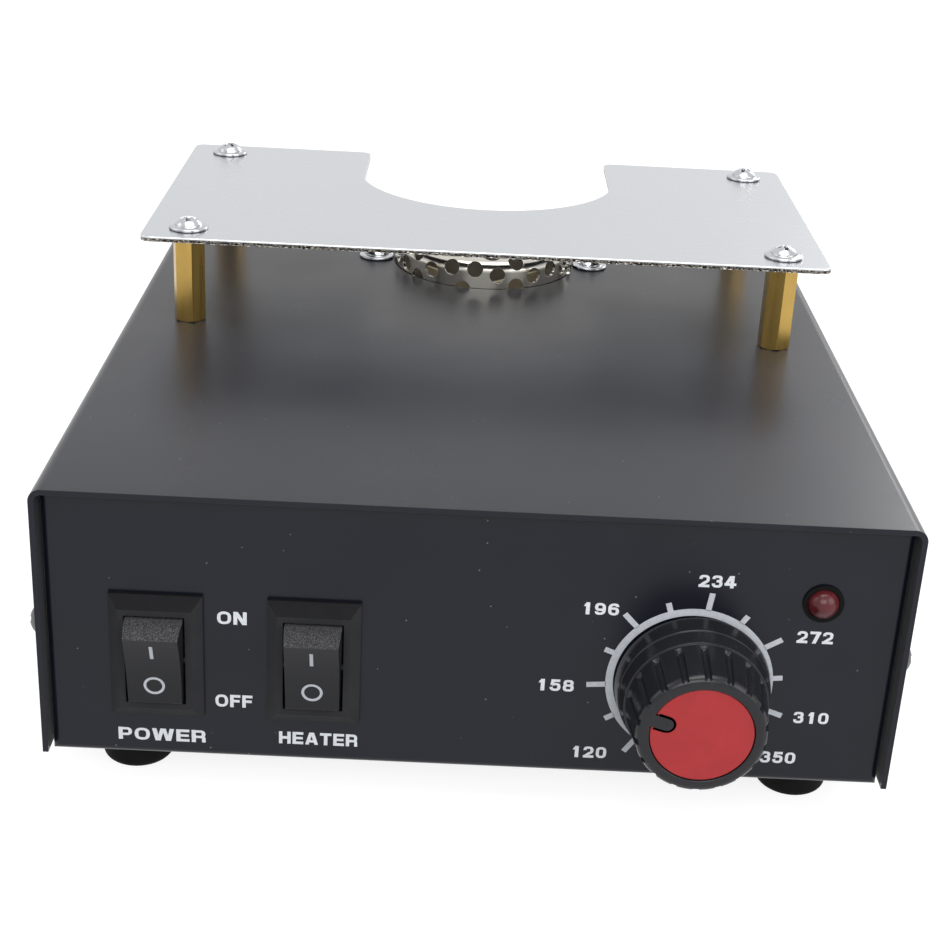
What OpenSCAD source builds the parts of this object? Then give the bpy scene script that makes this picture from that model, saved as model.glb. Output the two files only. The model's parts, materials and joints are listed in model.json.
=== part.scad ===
// Hot-air preheater for circuit boards: a sheet-metal case with a fan and heater under a perforated outlet,
// and a notched plate on four hex pillars that carries the work over the outlet.
// Millimetres, +Z up, the front panel faces -Y, the feet stand on z = 0.

/* [Case] */
// Outer width of the cover
case_w = 138; // [134:1:150]
// Depth of the cover from front edge to rear edge
case_d = 156; // [156:1:170]
// Height from the underside of the chassis to the top of the cover
case_h = 48; // [46:0.5:56]
// Thickness of the cover and chassis sheet
sheet_t = 0.9; // [0.7:0.1:1.2]
// Outside radius of the cover's bends
bend_r = 2; // [1.6:0.1:2.6]
// Inside radius of the chassis's bends
tray_bend = 0.3; // [0.2:0.1:0.6]
// Distance that the cover overhangs the front and rear panels
panel_recess = 2.2; // [1.5:0.1:3]
// Gap between the cover and the chassis inside it
fit_gap = 0.2; // [0.1:0.05:0.35]
// Height of the cover's lower edges above the underside of the chassis
cover_lift = 0.9; // [0.5:0.1:2]
// Depth of the flanges along the top of the panels
top_flange = 5; // [4:0.5:5.5]
// Depth of the flanges down the sides of the panels
side_flange = 12; // [11:0.5:16]
// Distance of the side screws from the cover's front and rear edges
side_screw_inset = 6; // [5.5:0.1:9]
// Distance of the side screws below the top of the cover
side_screw_drop = 25.6; // [20:0.1:32]

/* [Feet] */
// Diameter of a rubber foot where it meets the chassis
foot_d = 13; // [12.5:0.5:16]
// Height of a rubber foot
foot_h = 6.5; // [6:0.1:12]
// Distance of the feet from the cover's sides
foot_side = 13.2; // [12:0.1:20]
// Distance of the feet from the cover's front and rear edges
foot_inset = 13; // [12:0.5:20]

/* [Support plate] */
// Width of the plate
plate_w = 130; // [124:1:150]
// Depth of the plate
plate_d = 72; // [68:0.5:76]
// Thickness of the plate
plate_t = 1; // [0.8:0.1:2]
// Distance of the plate's rear edge from the cover's rear edge
plate_inset = 9.7; // [6:0.1:14]
// Corner radius of the plate
plate_corner_r = 2.2; // [1:0.1:4]
// Distance of the pillar holes from the plate's side edges
plate_hole_x = 8.3; // [6:0.1:14]
// Distance of the pillar holes from the plate's front and rear edges
plate_hole_y = 6.8; // [5:0.1:9]
// Width of the notch
notch_w = 52; // [40:0.5:53]
// Radius of the notch's round end
notch_r = 27; // [27:0.5:30]
// Distance of the notch radius's centre behind the outlet's centre
notch_back = 4; // [0:0.5:6]
// Length of the hex pillars
pillar_l = 17; // [12:0.5:30]
// Width of the hex pillars across flats
pillar_af = 5.5; // [5:0.5:7]

/* [Air outlet] */
// Distance of the outlet's centre from the cover's rear edge
outlet_inset = 29.2; // [29:0.1:32]
// Outside diameter of the perforated cup
cup_d = 38.4; // [36:0.2:39]
// Height of the cup above the cover
cup_rise = 5.8; // [5.7:0.1:8]
// Wall of the cup
cup_wall = 0.6; // [0.4:0.1:0.8]
// Radius round the top edge of the cup
cup_edge_r = 2.4; // [1.8:0.1:2.8]
// Diameter of the cup's perforations
perf_d = 3.3; // [2.6:0.1:3.5]
// Distance between neighbouring perforations in the flat sheet
perf_pitch = 5.2; // [4.9:0.1:6]
// Direction of the rows of perforations, turned left from +X
perf_turn = 48; // [0:1:59]

/* [Screws] */
// Thread diameter of the machine screws
screw_d = 3; // [2.5:0.1:3]
// Diameter of the washer heads on the plate and the outlet
washer_head_d = 7.4; // [6.5:0.1:8]
// Diameter of the plain pan heads
pan_head_d = 5.8; // [5.5:0.1:6.2]
// Height of every screw head
head_h = 2.2; // [1.8:0.1:2.4]
// Width of the hex nuts across flats
nut_af = 5.5; // [5.2:0.1:6]
// Height of the hex nuts
nut_h = 2.4; // [1.8:0.1:2.6]
// Play of a screw in its hole, across the diameter
hole_play = 0.4; // [0.2:0.05:0.6]

/* [Rocker switches] */
// Width of a switch's frame
frame_w = 14.9; // [14.5:0.1:16]
// Height of a switch's frame
frame_h = 22; // [21:0.1:23]
// Distance that the frame stands out of the panel
frame_t = 2.2; // [2:0.1:3]
// Width of the opening in the frame
opening_w = 9.6; // [8.5:0.1:10]
// Height of the opening in the frame
opening_h = 15.8; // [15:0.1:16.5]
// Width of the moulded body behind the panel
switch_body_w = 12.9; // [12.6:0.1:13.2]
// Height of the moulded body behind the panel
switch_body_h = 19; // [18.4:0.1:19.4]
// Depth of the moulded body behind the panel
switch_depth = 14; // [13:0.5:18]
// Angle between the two positions of a rocker
rocker_swing = 28; // [16:0.5:32]
// Distance of the switches below the top of the cover
switch_drop = 29; // [26:0.1:31]
// Distance of the power switch from the cover's left side
power_side = 18.7; // [17:0.1:21]
// Distance between the two switches
switch_pitch = 25.1; // [22:0.1:28]

/* [Control knob] */
// Distance of the knob from the cover's right side
dial_side = 33.5; // [31:0.1:39]
// Distance of the knob below the top of the cover
dial_drop = 29.9; // [26:0.1:31]
// Diameter of the knob's skirt
knob_d = 25; // [24:0.5:26]
// Diameter of the grip where it leaves the skirt
grip_d = 22.4; // [21.4:0.1:23]
// Diameter of the grip at the knob's face
grip_face_d = 20.4; // [20.2:0.1:21]
// Height of the knob
knob_h = 15.1; // [14:0.1:18]
// Height of the skirt
skirt_h = 3.8; // [2:0.1:4.5]
// Gap between the knob and the panel
knob_gap = 0.8; // [0.5:0.1:1.5]
// Number of grooves round the grip
groove_count = 18; // [12:1:24]
// Diameter of the coloured cap in the knob's face
cap_d = 16.3; // [15:0.1:17]
// Diameter of the control's shaft
shaft_d = 6; // [5.6:0.1:6.2]
// Direction of the knob's pointer, turned left from three o'clock
pointer_angle = 163; // [0:1:359]

/* [Indicator] */
// Distance of the lamp from the cover's right side
led_side = 14.2; // [12:0.1:17]
// Distance of the lamp below the top of the cover
led_drop = 14.4; // [12:0.1:15]
// Diameter of the lamp's lens
led_d = 5; // [3:0.5:5.5]

/* [Fan and heater] */
// Side of the square fan
fan_w = 40; // [40:0.5:41]
// Height of the fan
fan_t = 20; // [18:0.5:22]
// Distance of the fan's screw holes from its edges
fan_hole_inset = 4; // [3.7:0.1:4.5]
// Number of fan blades
blade_count = 7; // [5:1:9]
// Diameter of the fan's hub
hub_d = 21; // [19:0.5:22]
// Diameter of the fan's steel shaft
fan_shaft_d = 2; // [1.6:0.1:2.4]
// Running clearance of a shaft or pin, on the radius
run_gap = 0.05; // [0.02:0.01:0.08]
// Wall of the heater tube
tube_wall = 0.6; // [0.4:0.1:1]
// Diameter of the heating wire
wire_d = 1.2; // [0.8:0.1:1.4]
// Turns of the heating coil
coil_turns = 4; // [3:1:5]

/* [Electronics] */
// Width of the control board
board_w = 60; // [50:1:62]
// Distance of the control board behind the cover's front edge
board_front = 38; // [36:1:44]
// Gap between the control board and the fan
board_gap = 6.8; // [4:0.1:10]
// Height of the control board above the chassis floor
board_lift = 8; // [6:0.5:10]
// Width of the transformer's core
core_w = 42; // [38:1:44]
// Height of the transformer's core
core_h = 35; // [32:1:36]
// Thickness of the transformer's core
core_stack = 16; // [14:1:20]

/* [Mains inlet] */
// Width of the inlet's flange
inlet_w = 50; // [49:0.5:51]
// Height of the inlet's flange
inlet_h = 24; // [23:0.5:26]
// Thickness of the inlet's flange
inlet_flange_t = 3; // [2.5:0.1:4]
// Distance between the inlet's screws
inlet_screw_span = 40; // [39.5:0.1:40.5]
// Depth of the inlet's body behind the panel
inlet_depth = 19; // [18:0.5:22]

/* [Hidden] */
$fn = 96;
eps = 0.01;

base_z = foot_h;
floor_z = base_z + sheet_t;
top_z = base_z + case_h;
inner_top = top_z - sheet_t;
cover_z = base_z + cover_lift;
panel_y = panel_recess;
rear_y = case_d - panel_recess;
panel_top = inner_top - fit_gap;
chassis_w = case_w - 2 * sheet_t - 2 * fit_gap;
tray_bend_r = sheet_t + tray_bend;
lap = 0.1;

knob_back_y = panel_y - knob_gap;
knob_face_y = knob_back_y - knob_h;
mid_y = (knob_face_y + rear_y + inlet_flange_t + head_h) / 2;

screw_hole_d = screw_d + hole_play;

foot_x = case_w / 2 - foot_side;
power_x = -case_w / 2 + power_side;
heater_x = power_x + switch_pitch;
dial_x = case_w / 2 - dial_side;
led_x = case_w / 2 - led_side;

plate_front = case_d - plate_inset - plate_d;
outlet_y = case_d - outlet_inset;
pillar_x = plate_w / 2 - plate_hole_x;
pillar_ys = [plate_front + plate_hole_y, plate_front + plate_d - plate_hole_y];
// The pillars stop turning where their threads run tight, each at its own angle
pillar_turns = [[-12.6, -26.1], [8, 19]];
pillar_screw_l = 6;

ear_thread_gap = 0.3;
outlet_screw_x = cup_d / 2 + washer_head_d / 2 + ear_thread_gap;
ear_r = screw_d / 2 + 2.6;
cup_flange_r = cup_d / 2 + 1.4;
cup_flange_t = 0.6;
tube_flange_t = 0.8;
tube_top = inner_top - cup_flange_t;
fan_top = floor_z + fan_t;
fan_hole_span = fan_w - 2 * fan_hole_inset;
nut_room = 1.05;
tube_d = fan_hole_span * sqrt(2) - nut_af / cos(30) - 2 * nut_room;
sensor_lug_t = 0.6;

switch_z = top_z - switch_drop;
dial_z = top_z - dial_drop;
led_z = top_z - led_drop;
foot_ys = [foot_inset, case_d - foot_inset];

inlet_side_gap = 3;
inlet_x = -(chassis_w / 2 - inlet_w / 2 - inlet_side_gap);
inlet_z = base_z + case_h / 2;
inlet_body_w = 27;
inlet_body_h = 19.6;

board_t = 1.6;
board_side_gap = 2.1;
board_x = chassis_w / 2 - sheet_t - board_side_gap - board_w / 2;
board_rear = outlet_y - fan_w / 2 - board_gap;
board_d = board_rear - board_front;
board_y = board_front + board_d / 2;
board_top = floor_z + board_lift + board_t;
board_hole_inset = 4;

strap_t = 1;
strap_foot = 8;
strap_fit = 0.1;
strap_half = core_w / 2 + strap_fit;
strap_side_gap = 2;
core_x = -(chassis_w / 2 - strap_half - strap_t - strap_foot - strap_side_gap);
core_y = 66;

// Rectangle with round corners
module round_rect(x0, y0, x1, y1, r) {
    translate([x0 + r, y0]) square([x1 - x0 - 2 * r, y1 - y0]);
    translate([x0, y0 + r]) square([x1 - x0, y1 - y0 - 2 * r]);
    for (x = [x0 + r, x1 - r], y = [y0 + r, y1 - r]) translate([x, y]) circle(r = r);
}

// Outline of bent sheet: a round-cornered rectangle with the sheet's thickness
module sheet_outline(x0, y0, x1, y1, r) {
    difference() {
        round_rect(x0, y0, x1, y1, r);
        round_rect(x0 + sheet_t, y0 + sheet_t, x1 - sheet_t, y1 - sheet_t, r - sheet_t);
    }
}

// Moves the model so that its box is centred on the origin
module place() {
    translate([0, -mid_y, 0]) children();
}

// Local frame of a panel part: x across, y up, z out of the panel's front face
module on_front(x, z) {
    translate([x, panel_y, z]) rotate([90, 0, 0]) children();
}

// The same on the rear panel, seen from behind
module on_rear(x, z) {
    translate([x, rear_y, z]) rotate([90, 0, 180]) children();
}

module at_pillars() {
    for (i = [0, 1], j = [0, 1])
        translate([(2 * i - 1) * pillar_x, pillar_ys[j], 0]) rotate(pillar_turns[j][i]) children();
}

module at_feet() {
    for (s = [-1, 1], y = foot_ys) translate([s * foot_x, y, base_z]) children();
}

module at_outlet_screws() {
    for (s = [-1, 1]) translate([s * outlet_screw_x, outlet_y, 0]) children();
}

module at_fan_screws() {
    for (x = [-1, 1], y = [-1, 1])
        translate([x * fan_hole_span / 2, outlet_y + y * fan_hole_span / 2, 0]) children();
}

module at_board_holes() {
    for (x = [-1, 1], y = [-1, 1])
        translate([board_x + x * (board_w / 2 - board_hole_inset),
                   board_y + y * (board_d / 2 - board_hole_inset), 0]) children();
}

module at_strap_feet() {
    reach = strap_half + strap_t + strap_foot / 2;
    for (s = [-1, 1]) translate([core_x + s * reach, core_y, 0]) children();
}

module at_inlet_screws() {
    for (s = [-1, 1]) on_rear(inlet_x + s * inlet_screw_span / 2, inlet_z) children();
}

module at_side_screws() {
    for (s = [-1, 1], y = [side_screw_inset, case_d - side_screw_inset])
        translate([s * case_w / 2, y, top_z - side_screw_drop]) rotate([0, s * 90, 0]) children();
}

// Dome that ends in a straight rim, for screw heads and lenses
module dome(d, h, rim_h) {
    crown = h - rim_h;
    ball_r = (d * d / 4 + crown * crown) / (2 * crown);
    intersection() {
        cylinder(d = d, h = h);
        translate([0, 0, h - ball_r]) sphere(r = ball_r);
    }
}

// Cross-recess screw that seats on z = 0, with the thread below it
module cross_screw(head_d, length, washer_d = 0) {
    washer_h = washer_d > 0 ? 0.7 : 0;
    difference() {
        union() {
            if (washer_d > 0) cylinder(d = washer_d, h = washer_h);
            translate([0, 0, washer_h]) dome(head_d, head_h - washer_h, 0.3);
            translate([0, 0, -length]) cylinder(d = screw_d, h = length + eps);
        }
        for (a = [0, 90]) rotate(a)
            translate([-head_d * 0.3, -0.35, head_h - 1]) cube([head_d * 0.6, 0.7, 1 + eps]);
    }
}

// Hex bar whose corners are turned off at 30 degrees at both ends, which leaves scalloped faces
module hex_bar(af, h) {
    corner_r = af / 2 / cos(30) + eps;
    land_r = af / 2 * 0.97;
    cut = (corner_r - land_r) * tan(30);
    intersection() {
        cylinder(d = af / cos(30), h = h, $fn = 6);
        rotate_extrude()
            polygon([[0, 0], [land_r, 0], [corner_r, cut], [corner_r, h - cut], [land_r, h], [0, h]]);
    }
}

thread_play = 0.1;

module hex_nut() {
    difference() {
        hex_bar(nut_af, nut_h);
        translate([0, 0, -eps]) cylinder(d = screw_d + thread_play, h = nut_h + 2 * eps);
    }
}

// Slot with round ends along y, centred on the origin
module slot(w, l, t) {
    translate([-w / 2, -l / 2 + w / 2, 0]) cube([w, l - w, t]);
    for (s = [-1, 1]) translate([0, s * (l - w) / 2, 0]) cylinder(d = w, h = t);
}

// Case

switch_cut_gap = 0.1;
control_bush_d = shaft_d + 1.1;
lamp_sleeve_d = led_d + 0.9;
vent_w = 3;
vent_pitch = 6;
rear_vent_l = 22;
rear_vent_count = 8;
rear_vent_x = 12;

module front_cutouts() {
    deep = sheet_t + 2 * eps;
    for (x = [power_x, heater_x]) on_front(x, switch_z)
        translate([-switch_body_w / 2 - switch_cut_gap, -switch_body_h / 2 - switch_cut_gap, eps - deep])
            cube([switch_body_w + 2 * switch_cut_gap, switch_body_h + 2 * switch_cut_gap, deep]);
    on_front(dial_x, dial_z) translate([0, 0, eps - deep]) cylinder(d = control_bush_d + 0.2, h = deep);
    on_front(led_x, led_z) translate([0, 0, eps - deep]) cylinder(d = lamp_sleeve_d + 0.2, h = deep);
}

module rear_cutouts() {
    deep = sheet_t + 2 * eps;
    on_rear(inlet_x, inlet_z) translate([-inlet_body_w / 2 - 0.2, -inlet_body_h / 2 - 0.2, eps - deep])
        cube([inlet_body_w + 0.4, inlet_body_h + 0.4, deep]);
    at_inlet_screws() translate([0, 0, eps - deep]) cylinder(d = screw_hole_d, h = deep);
    for (i = [0 : rear_vent_count - 1]) on_rear(rear_vent_x + i * vent_pitch, inlet_z)
        translate([0, 0, eps - deep]) slot(vent_w, rear_vent_l, deep);
}

module floor_cutouts() {
    deep = sheet_t + 2 * eps;
    reach = fan_hole_span / 2 + 2;
    translate([0, 0, base_z - eps]) {
        for (i = [-2 : 2]) translate([i * vent_pitch, outlet_y, 0])
            slot(vent_w, 2 * sqrt(reach * reach - pow(i * vent_pitch, 2)) - vent_w, deep);
        at_fan_screws() cylinder(d = screw_hole_d, h = deep);
        at_board_holes() cylinder(d = screw_hole_d, h = deep);
        at_strap_feet() cylinder(d = screw_hole_d, h = deep);
    }
    at_feet() translate([0, 0, -eps]) cylinder(d = screw_hole_d, h = deep);
}

// Tray of one folded sheet: front panel, floor and rear panel, with flanges back from the panel edges
module chassis() {
    side = chassis_w / 2 - tray_bend_r;
    side_top = top_z - bend_r;
    color("dimgray") place() difference() {
        union() {
            translate([-side, 0, 0]) rotate([90, 0, 90]) linear_extrude(2 * side) difference() {
                sheet_outline(panel_y, base_z, rear_y, panel_top, tray_bend_r);
                translate([panel_y + top_flange, panel_top - 2 * bend_r])
                    square([rear_y - panel_y - 2 * top_flange, 4 * bend_r]);
            }
            for (x = [-chassis_w / 2, side - lap]) translate([x, panel_y + tray_bend_r, base_z])
                cube([tray_bend_r + lap, rear_y - panel_y - 2 * tray_bend_r, sheet_t]);
            intersection() {
                translate([0, 0, base_z]) linear_extrude(side_top - base_z) intersection() {
                    sheet_outline(-chassis_w / 2, panel_y, chassis_w / 2, rear_y, tray_bend_r);
                    for (x = [-chassis_w / 2, side - lap], y = [panel_y, rear_y - side_flange])
                        translate([x, y]) square([tray_bend_r + lap, side_flange]);
                }
                translate([-chassis_w / 2, 0, 0]) rotate([90, 0, 90]) linear_extrude(chassis_w)
                    round_rect(panel_y, base_z, rear_y, panel_top, tray_bend_r);
            }
        }
        front_cutouts();
        rear_cutouts();
        floor_cutouts();
        at_side_screws() translate([0, 0, -2 * bend_r]) cylinder(d = screw_hole_d, h = 2 * bend_r);
    }
}

// Lid of one folded sheet that slides down over the chassis
module cover() {
    deep = sheet_t + 2 * eps;
    color("dimgray") place() difference() {
        translate([0, case_d, 0]) rotate([90, 0, 0]) linear_extrude(case_d) intersection() {
            sheet_outline(-case_w / 2, cover_z - 2 * bend_r, case_w / 2, top_z, bend_r);
            translate([-case_w / 2, cover_z]) square([case_w, case_h]);
        }
        translate([0, 0, inner_top - eps]) {
            translate([0, outlet_y, 0]) cylinder(d = cup_d + 2 * fit_gap, h = deep);
            at_outlet_screws() cylinder(d = screw_hole_d, h = deep);
            at_pillars() cylinder(d = screw_hole_d, h = deep);
        }
        at_side_screws() translate([0, 0, -sheet_t - eps]) cylinder(d = screw_hole_d, h = deep);
    }
}

module cover_screws() {
    color("gray") place() at_side_screws() cross_screw(pan_head_d, 5);
}

// Feet

foot_bottom_d = foot_d - 1;
foot_edge_r = 1.5;
foot_seat_z = 3;

// Tapered rubber foot with a rounded rim and a pocket for its screw
module rubber_feet() {
    color("black") place() at_feet() difference() {
        union() {
            translate([0, 0, -foot_h + foot_edge_r])
                cylinder(d1 = foot_bottom_d, d2 = foot_d, h = foot_h - foot_edge_r);
            translate([0, 0, -foot_h]) cylinder(d = foot_bottom_d - 2 * foot_edge_r, h = foot_edge_r);
            translate([0, 0, -foot_h + foot_edge_r])
                rotate_extrude() translate([foot_bottom_d / 2 - foot_edge_r, 0]) intersection() {
                    circle(r = foot_edge_r);
                    translate([0, -foot_edge_r]) square(foot_edge_r);
                }
        }
        translate([0, 0, -foot_h - eps]) cylinder(d = pan_head_d + 1, h = foot_seat_z + eps);
        translate([0, 0, -foot_h]) cylinder(d = screw_hole_d, h = foot_h + eps);
    }
}

module foot_screws() {
    shank = foot_h - foot_seat_z + sheet_t + nut_h + 0.6;
    color("silver") place() at_feet() translate([0, 0, foot_seat_z - foot_h]) rotate([180, 0, 0])
        cross_screw(pan_head_d, shank);
}

module foot_nuts() {
    color("silver") place() at_feet() translate([0, 0, sheet_t]) hex_nut();
}

// Support plate on its pillars

plate_z = top_z + pillar_l;

module plate_outline() {
    rear = plate_front + plate_d;
    notch_y = outlet_y + notch_back;
    round_end = sqrt(notch_r * notch_r - notch_w * notch_w / 4);
    for (s = [-1, 1]) {
        inner = s * notch_w / 2;
        outer = s * plate_w / 2;
        round_rect(min(inner, outer), plate_front, max(inner, outer), rear, plate_corner_r);
    }
    difference() {
        translate([-notch_w / 2 - plate_corner_r, plate_front])
            square([notch_w + 2 * plate_corner_r, notch_y - round_end - plate_front]);
        translate([0, notch_y]) circle(r = notch_r);
    }
}

module support_plate() {
    color("lightgray") place() difference() {
        translate([0, 0, plate_z]) linear_extrude(plate_t) plate_outline();
        at_pillars() translate([0, 0, plate_z - eps]) cylinder(d = screw_hole_d, h = plate_t + 2 * eps);
    }
}

module plate_screws() {
    color("silver") place() at_pillars() translate([0, 0, plate_z + plate_t])
        cross_screw(pan_head_d - 0.6, plate_t + pillar_screw_l, washer_head_d);
}

// Brass hex pillars, tapped from both ends
module pillars() {
    color("goldenrod") place() at_pillars() translate([0, 0, top_z]) difference() {
        hex_bar(pillar_af, pillar_l);
        translate([0, 0, -eps]) cylinder(d = screw_d + thread_play, h = pillar_l + 2 * eps);
    }
}

module pillar_screws() {
    color("silver") place() at_pillars() translate([0, 0, inner_top]) rotate([180, 0, 0])
        cross_screw(pan_head_d, sheet_t + pillar_screw_l - 1);
}

// Air outlet and heater

// Ring with two ears that the outlet screws clamp
module eared_ring(r, t) {
    linear_extrude(t) {
        circle(r = r);
        translate([-outlet_screw_x, -ear_r]) square([2 * outlet_screw_x, 2 * ear_r]);
        for (s = [-1, 1]) translate([s * outlet_screw_x, 0]) circle(r = ear_r);
    }
}

module ear_holes(z, t) {
    for (s = [-1, 1]) translate([s * outlet_screw_x, 0, z - eps])
        cylinder(d = screw_hole_d, h = t + 2 * eps);
}

// Solid of revolution with a rounded top edge, from z = low to z = high
module round_top_plug(r, low, high, edge_r) {
    rotate_extrude() intersection() {
        round_rect(-r, low - 2 * edge_r, r, high, edge_r);
        translate([0, low]) square([r, high - low]);
    }
}

cup_top = top_z + cup_rise;
flat_r = cup_d / 2 - cup_edge_r;
bend_l = cup_edge_r * PI / 2;
perf_low = inner_top + 0.2;
perf_reach = flat_r + bend_l + cup_top - cup_edge_r - top_z + perf_d / 5;
perf_shift = [0.25, 0.375];
perf_rows = ceil(perf_reach / perf_pitch * 2 / sqrt(3)) + 1;
hole_depth = 1.9;

// Perforation at a length along the sheet from the cup's middle: over the top, round the bend, down the wall
module perforation(along) {
    tilt = max(0, min(90, (along - flat_r) / cup_edge_r * 180 / PI));
    drop = max(0, along - flat_r - bend_l);
    translate([min(along, flat_r), 0, cup_top - cup_edge_r - drop]) rotate([0, tilt, 0])
        translate([0, 0, cup_edge_r - hole_depth]) cylinder(d = perf_d, h = hole_depth + 1, $fn = 32);
}

// Hex pattern of the flat sheet, carried over the cup; the lowest holes end inside the cover's opening
module perforations() {
    for (i = [-perf_rows : perf_rows], j = [-perf_rows : perf_rows]) {
        p = [i + perf_shift[0], j + perf_shift[1]];
        spot = perf_pitch * [p[0] + p[1] / 2, p[1] * sqrt(3) / 2];
        along = norm(spot);
        if (along < perf_reach) rotate(perf_turn + atan2(spot[1], spot[0])) {
            if (along < perf_reach - perf_d) perforation(along);
            else intersection() {
                perforation(along);
                translate([flat_r, -perf_d, perf_low])
                    cube([2 * hole_depth + 2, 2 * perf_d, cup_rise + sheet_t]);
            }
        }
    }
}

// Cup pressed from perforated sheet
module outlet_cup() {
    color("silver") place() translate([0, outlet_y, 0]) difference() {
        union() {
            round_top_plug(cup_d / 2, tube_top, cup_top, cup_edge_r);
            translate([0, 0, tube_top]) eared_ring(cup_flange_r, cup_flange_t);
        }
        round_top_plug(cup_d / 2 - cup_wall, tube_top - 1, cup_top - cup_wall, cup_edge_r - cup_wall);
        ear_holes(tube_top, cup_flange_t);
        perforations();
    }
}

outlet_stack = sheet_t + cup_flange_t + tube_flange_t + sensor_lug_t + nut_h;

module outlet_screws() {
    color("silver") place() at_outlet_screws() translate([0, 0, top_z])
        cross_screw(pan_head_d - 0.6, outlet_stack + 0.6, washer_head_d);
}

module outlet_nuts() {
    drop = [outlet_stack - sensor_lug_t, outlet_stack];
    color("silver") place() for (i = [0, 1])
        translate([(2 * i - 1) * outlet_screw_x, outlet_y, top_z - drop[i]]) hex_nut();
}

former_ledge = 3;

// Steel tube that carries the air from the fan, with a ledge inside for the heater
module heater_tube() {
    flange_z = tube_top - tube_flange_t;
    bore = tube_d - 2 * tube_wall;
    color("slategray") place() translate([0, outlet_y, 0]) difference() {
        union() {
            translate([0, 0, fan_top]) cylinder(d = tube_d, h = tube_top - fan_top);
            translate([0, 0, flange_z]) eared_ring(cup_flange_r, tube_flange_t);
            translate([0, 0, fan_top]) linear_extrude(tube_flange_t)
                round_rect(-fan_w / 2, -fan_w / 2, fan_w / 2, fan_w / 2, 3);
        }
        translate([0, 0, fan_top + tube_flange_t]) cylinder(d = bore, h = tube_top - fan_top);
        translate([0, 0, fan_top - eps]) cylinder(d = bore - 2 * former_ledge, h = tube_flange_t + 2 * eps);
        ear_holes(flange_z, tube_flange_t);
        translate([0, -outlet_y, 0]) at_fan_screws()
            translate([0, 0, fan_top - eps]) cylinder(d = screw_hole_d, h = tube_flange_t + 2 * eps);
    }
}

former_z = fan_top + tube_flange_t;
former_h = tube_top - 4 - former_z;
former_r = tube_d / 2 - tube_wall - 0.2;
former_bar_h = 2.5;
former_t = 0.8;
coil_r = former_r - 4;
coil_gap = 0.2;

// Two crossed mica cards, waisted where the coil is wound
module heater_former() {
    web = coil_r - wire_d / 2 - coil_gap;
    color("wheat") place() translate([0, outlet_y, former_z]) for (a = [45, 135]) rotate([90, 0, a])
        translate([0, 0, -former_t / 2]) linear_extrude(former_t) {
            translate([-web, 0]) square([2 * web, former_h]);
            for (y = [0, former_h - former_bar_h]) translate([-former_r, y])
                square([2 * former_r, former_bar_h]);
        }
}

coil_steps = 20;
coil_sides = 6;

// Heating wire: a ring of points carried round the former while it climbs
module heater_coil() {
    rings = coil_turns * coil_steps;
    low = former_bar_h + wire_d / 2 + coil_gap;
    climb = former_h - 2 * low;
    points = [for (i = [0 : rings], j = [0 : coil_sides - 1])
        let (a = i * 360 / coil_steps, b = j * 360 / coil_sides, r = coil_r + wire_d / 2 * cos(b))
            [r * cos(a), r * sin(a), low + climb * i / rings + wire_d / 2 * sin(b)]];
    sides = [for (i = [0 : rings - 1], j = [0 : coil_sides - 1])
        let (k = (j + 1) % coil_sides, m = i * coil_sides)
            [m + j, m + j + coil_sides, m + k + coil_sides, m + k]];
    ends = [[for (j = [0 : coil_sides - 1]) j],
            [for (j = [coil_sides - 1 : -1 : 0]) rings * coil_sides + j]];
    color("peru") place() translate([0, outlet_y, former_z]) polyhedron(points, concat(sides, ends));
}

// Ring lug under the right-hand outlet nut, with the sensor crimped in its barrel
module temperature_sensor() {
    barrel_d = 3.4;
    barrel_l = 9;
    lug_neck = 1;
    barrel_drop = 0.1;
    z = tube_top - tube_flange_t - sensor_lug_t;
    color("silver") place() translate([outlet_screw_x, outlet_y, z]) {
        difference() {
            union() {
                cylinder(r = ear_r, h = sensor_lug_t);
                translate([-barrel_d / 2, -ear_r - barrel_l, 0])
                    cube([barrel_d, ear_r + barrel_l, sensor_lug_t]);
            }
            translate([0, 0, -eps]) cylinder(d = screw_hole_d, h = sensor_lug_t + 2 * eps);
        }
        translate([0, -ear_r - lug_neck, sensor_lug_t - barrel_d / 2 - barrel_drop]) rotate([90, 0, 0])
            cylinder(d = barrel_d, h = barrel_l);
    }
}

// Fan

fan_bore = fan_w - 2.4;
fan_rim_t = 3;
stator_plate_t = 1.5;
hub_wall = 1;
hub_gap = 0.6;
hub_h = fan_t - stator_plate_t - hub_gap - 2;
hub_z = floor_z + 2;
bearing_d = fan_shaft_d + 3;
tip_gap = 0.5;

// Moulded fan frame: two square rims, a round duct and a motor plate on four struts
module fan_frame() {
    color("black") place() translate([0, outlet_y, floor_z]) difference() {
        union() {
            for (z = [0, fan_t - fan_rim_t]) translate([0, 0, z]) linear_extrude(fan_rim_t) difference() {
                round_rect(-fan_w / 2, -fan_w / 2, fan_w / 2, fan_w / 2, 3);
                circle(d = fan_bore);
            }
            linear_extrude(fan_t) difference() {
                circle(d = fan_w);
                circle(d = fan_bore);
            }
            translate([0, 0, fan_t - stator_plate_t]) {
                cylinder(d = hub_d, h = stator_plate_t);
                for (a = [45 : 90 : 315]) rotate(a) translate([0, -1, 0])
                    cube([fan_bore / 2 + 0.5, 2, stator_plate_t]);
            }
            translate([0, 0, fan_t - stator_plate_t - hub_h + 4]) cylinder(d = bearing_d, h = hub_h - 4);
        }
        translate([0, 0, -eps]) cylinder(d = fan_shaft_d + 2 * run_gap, h = fan_t - 0.8);
        translate([0, -outlet_y, 0]) at_fan_screws() translate([0, 0, -eps])
            cylinder(d = screw_hole_d, h = fan_t + 2 * eps);
    }
}

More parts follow.
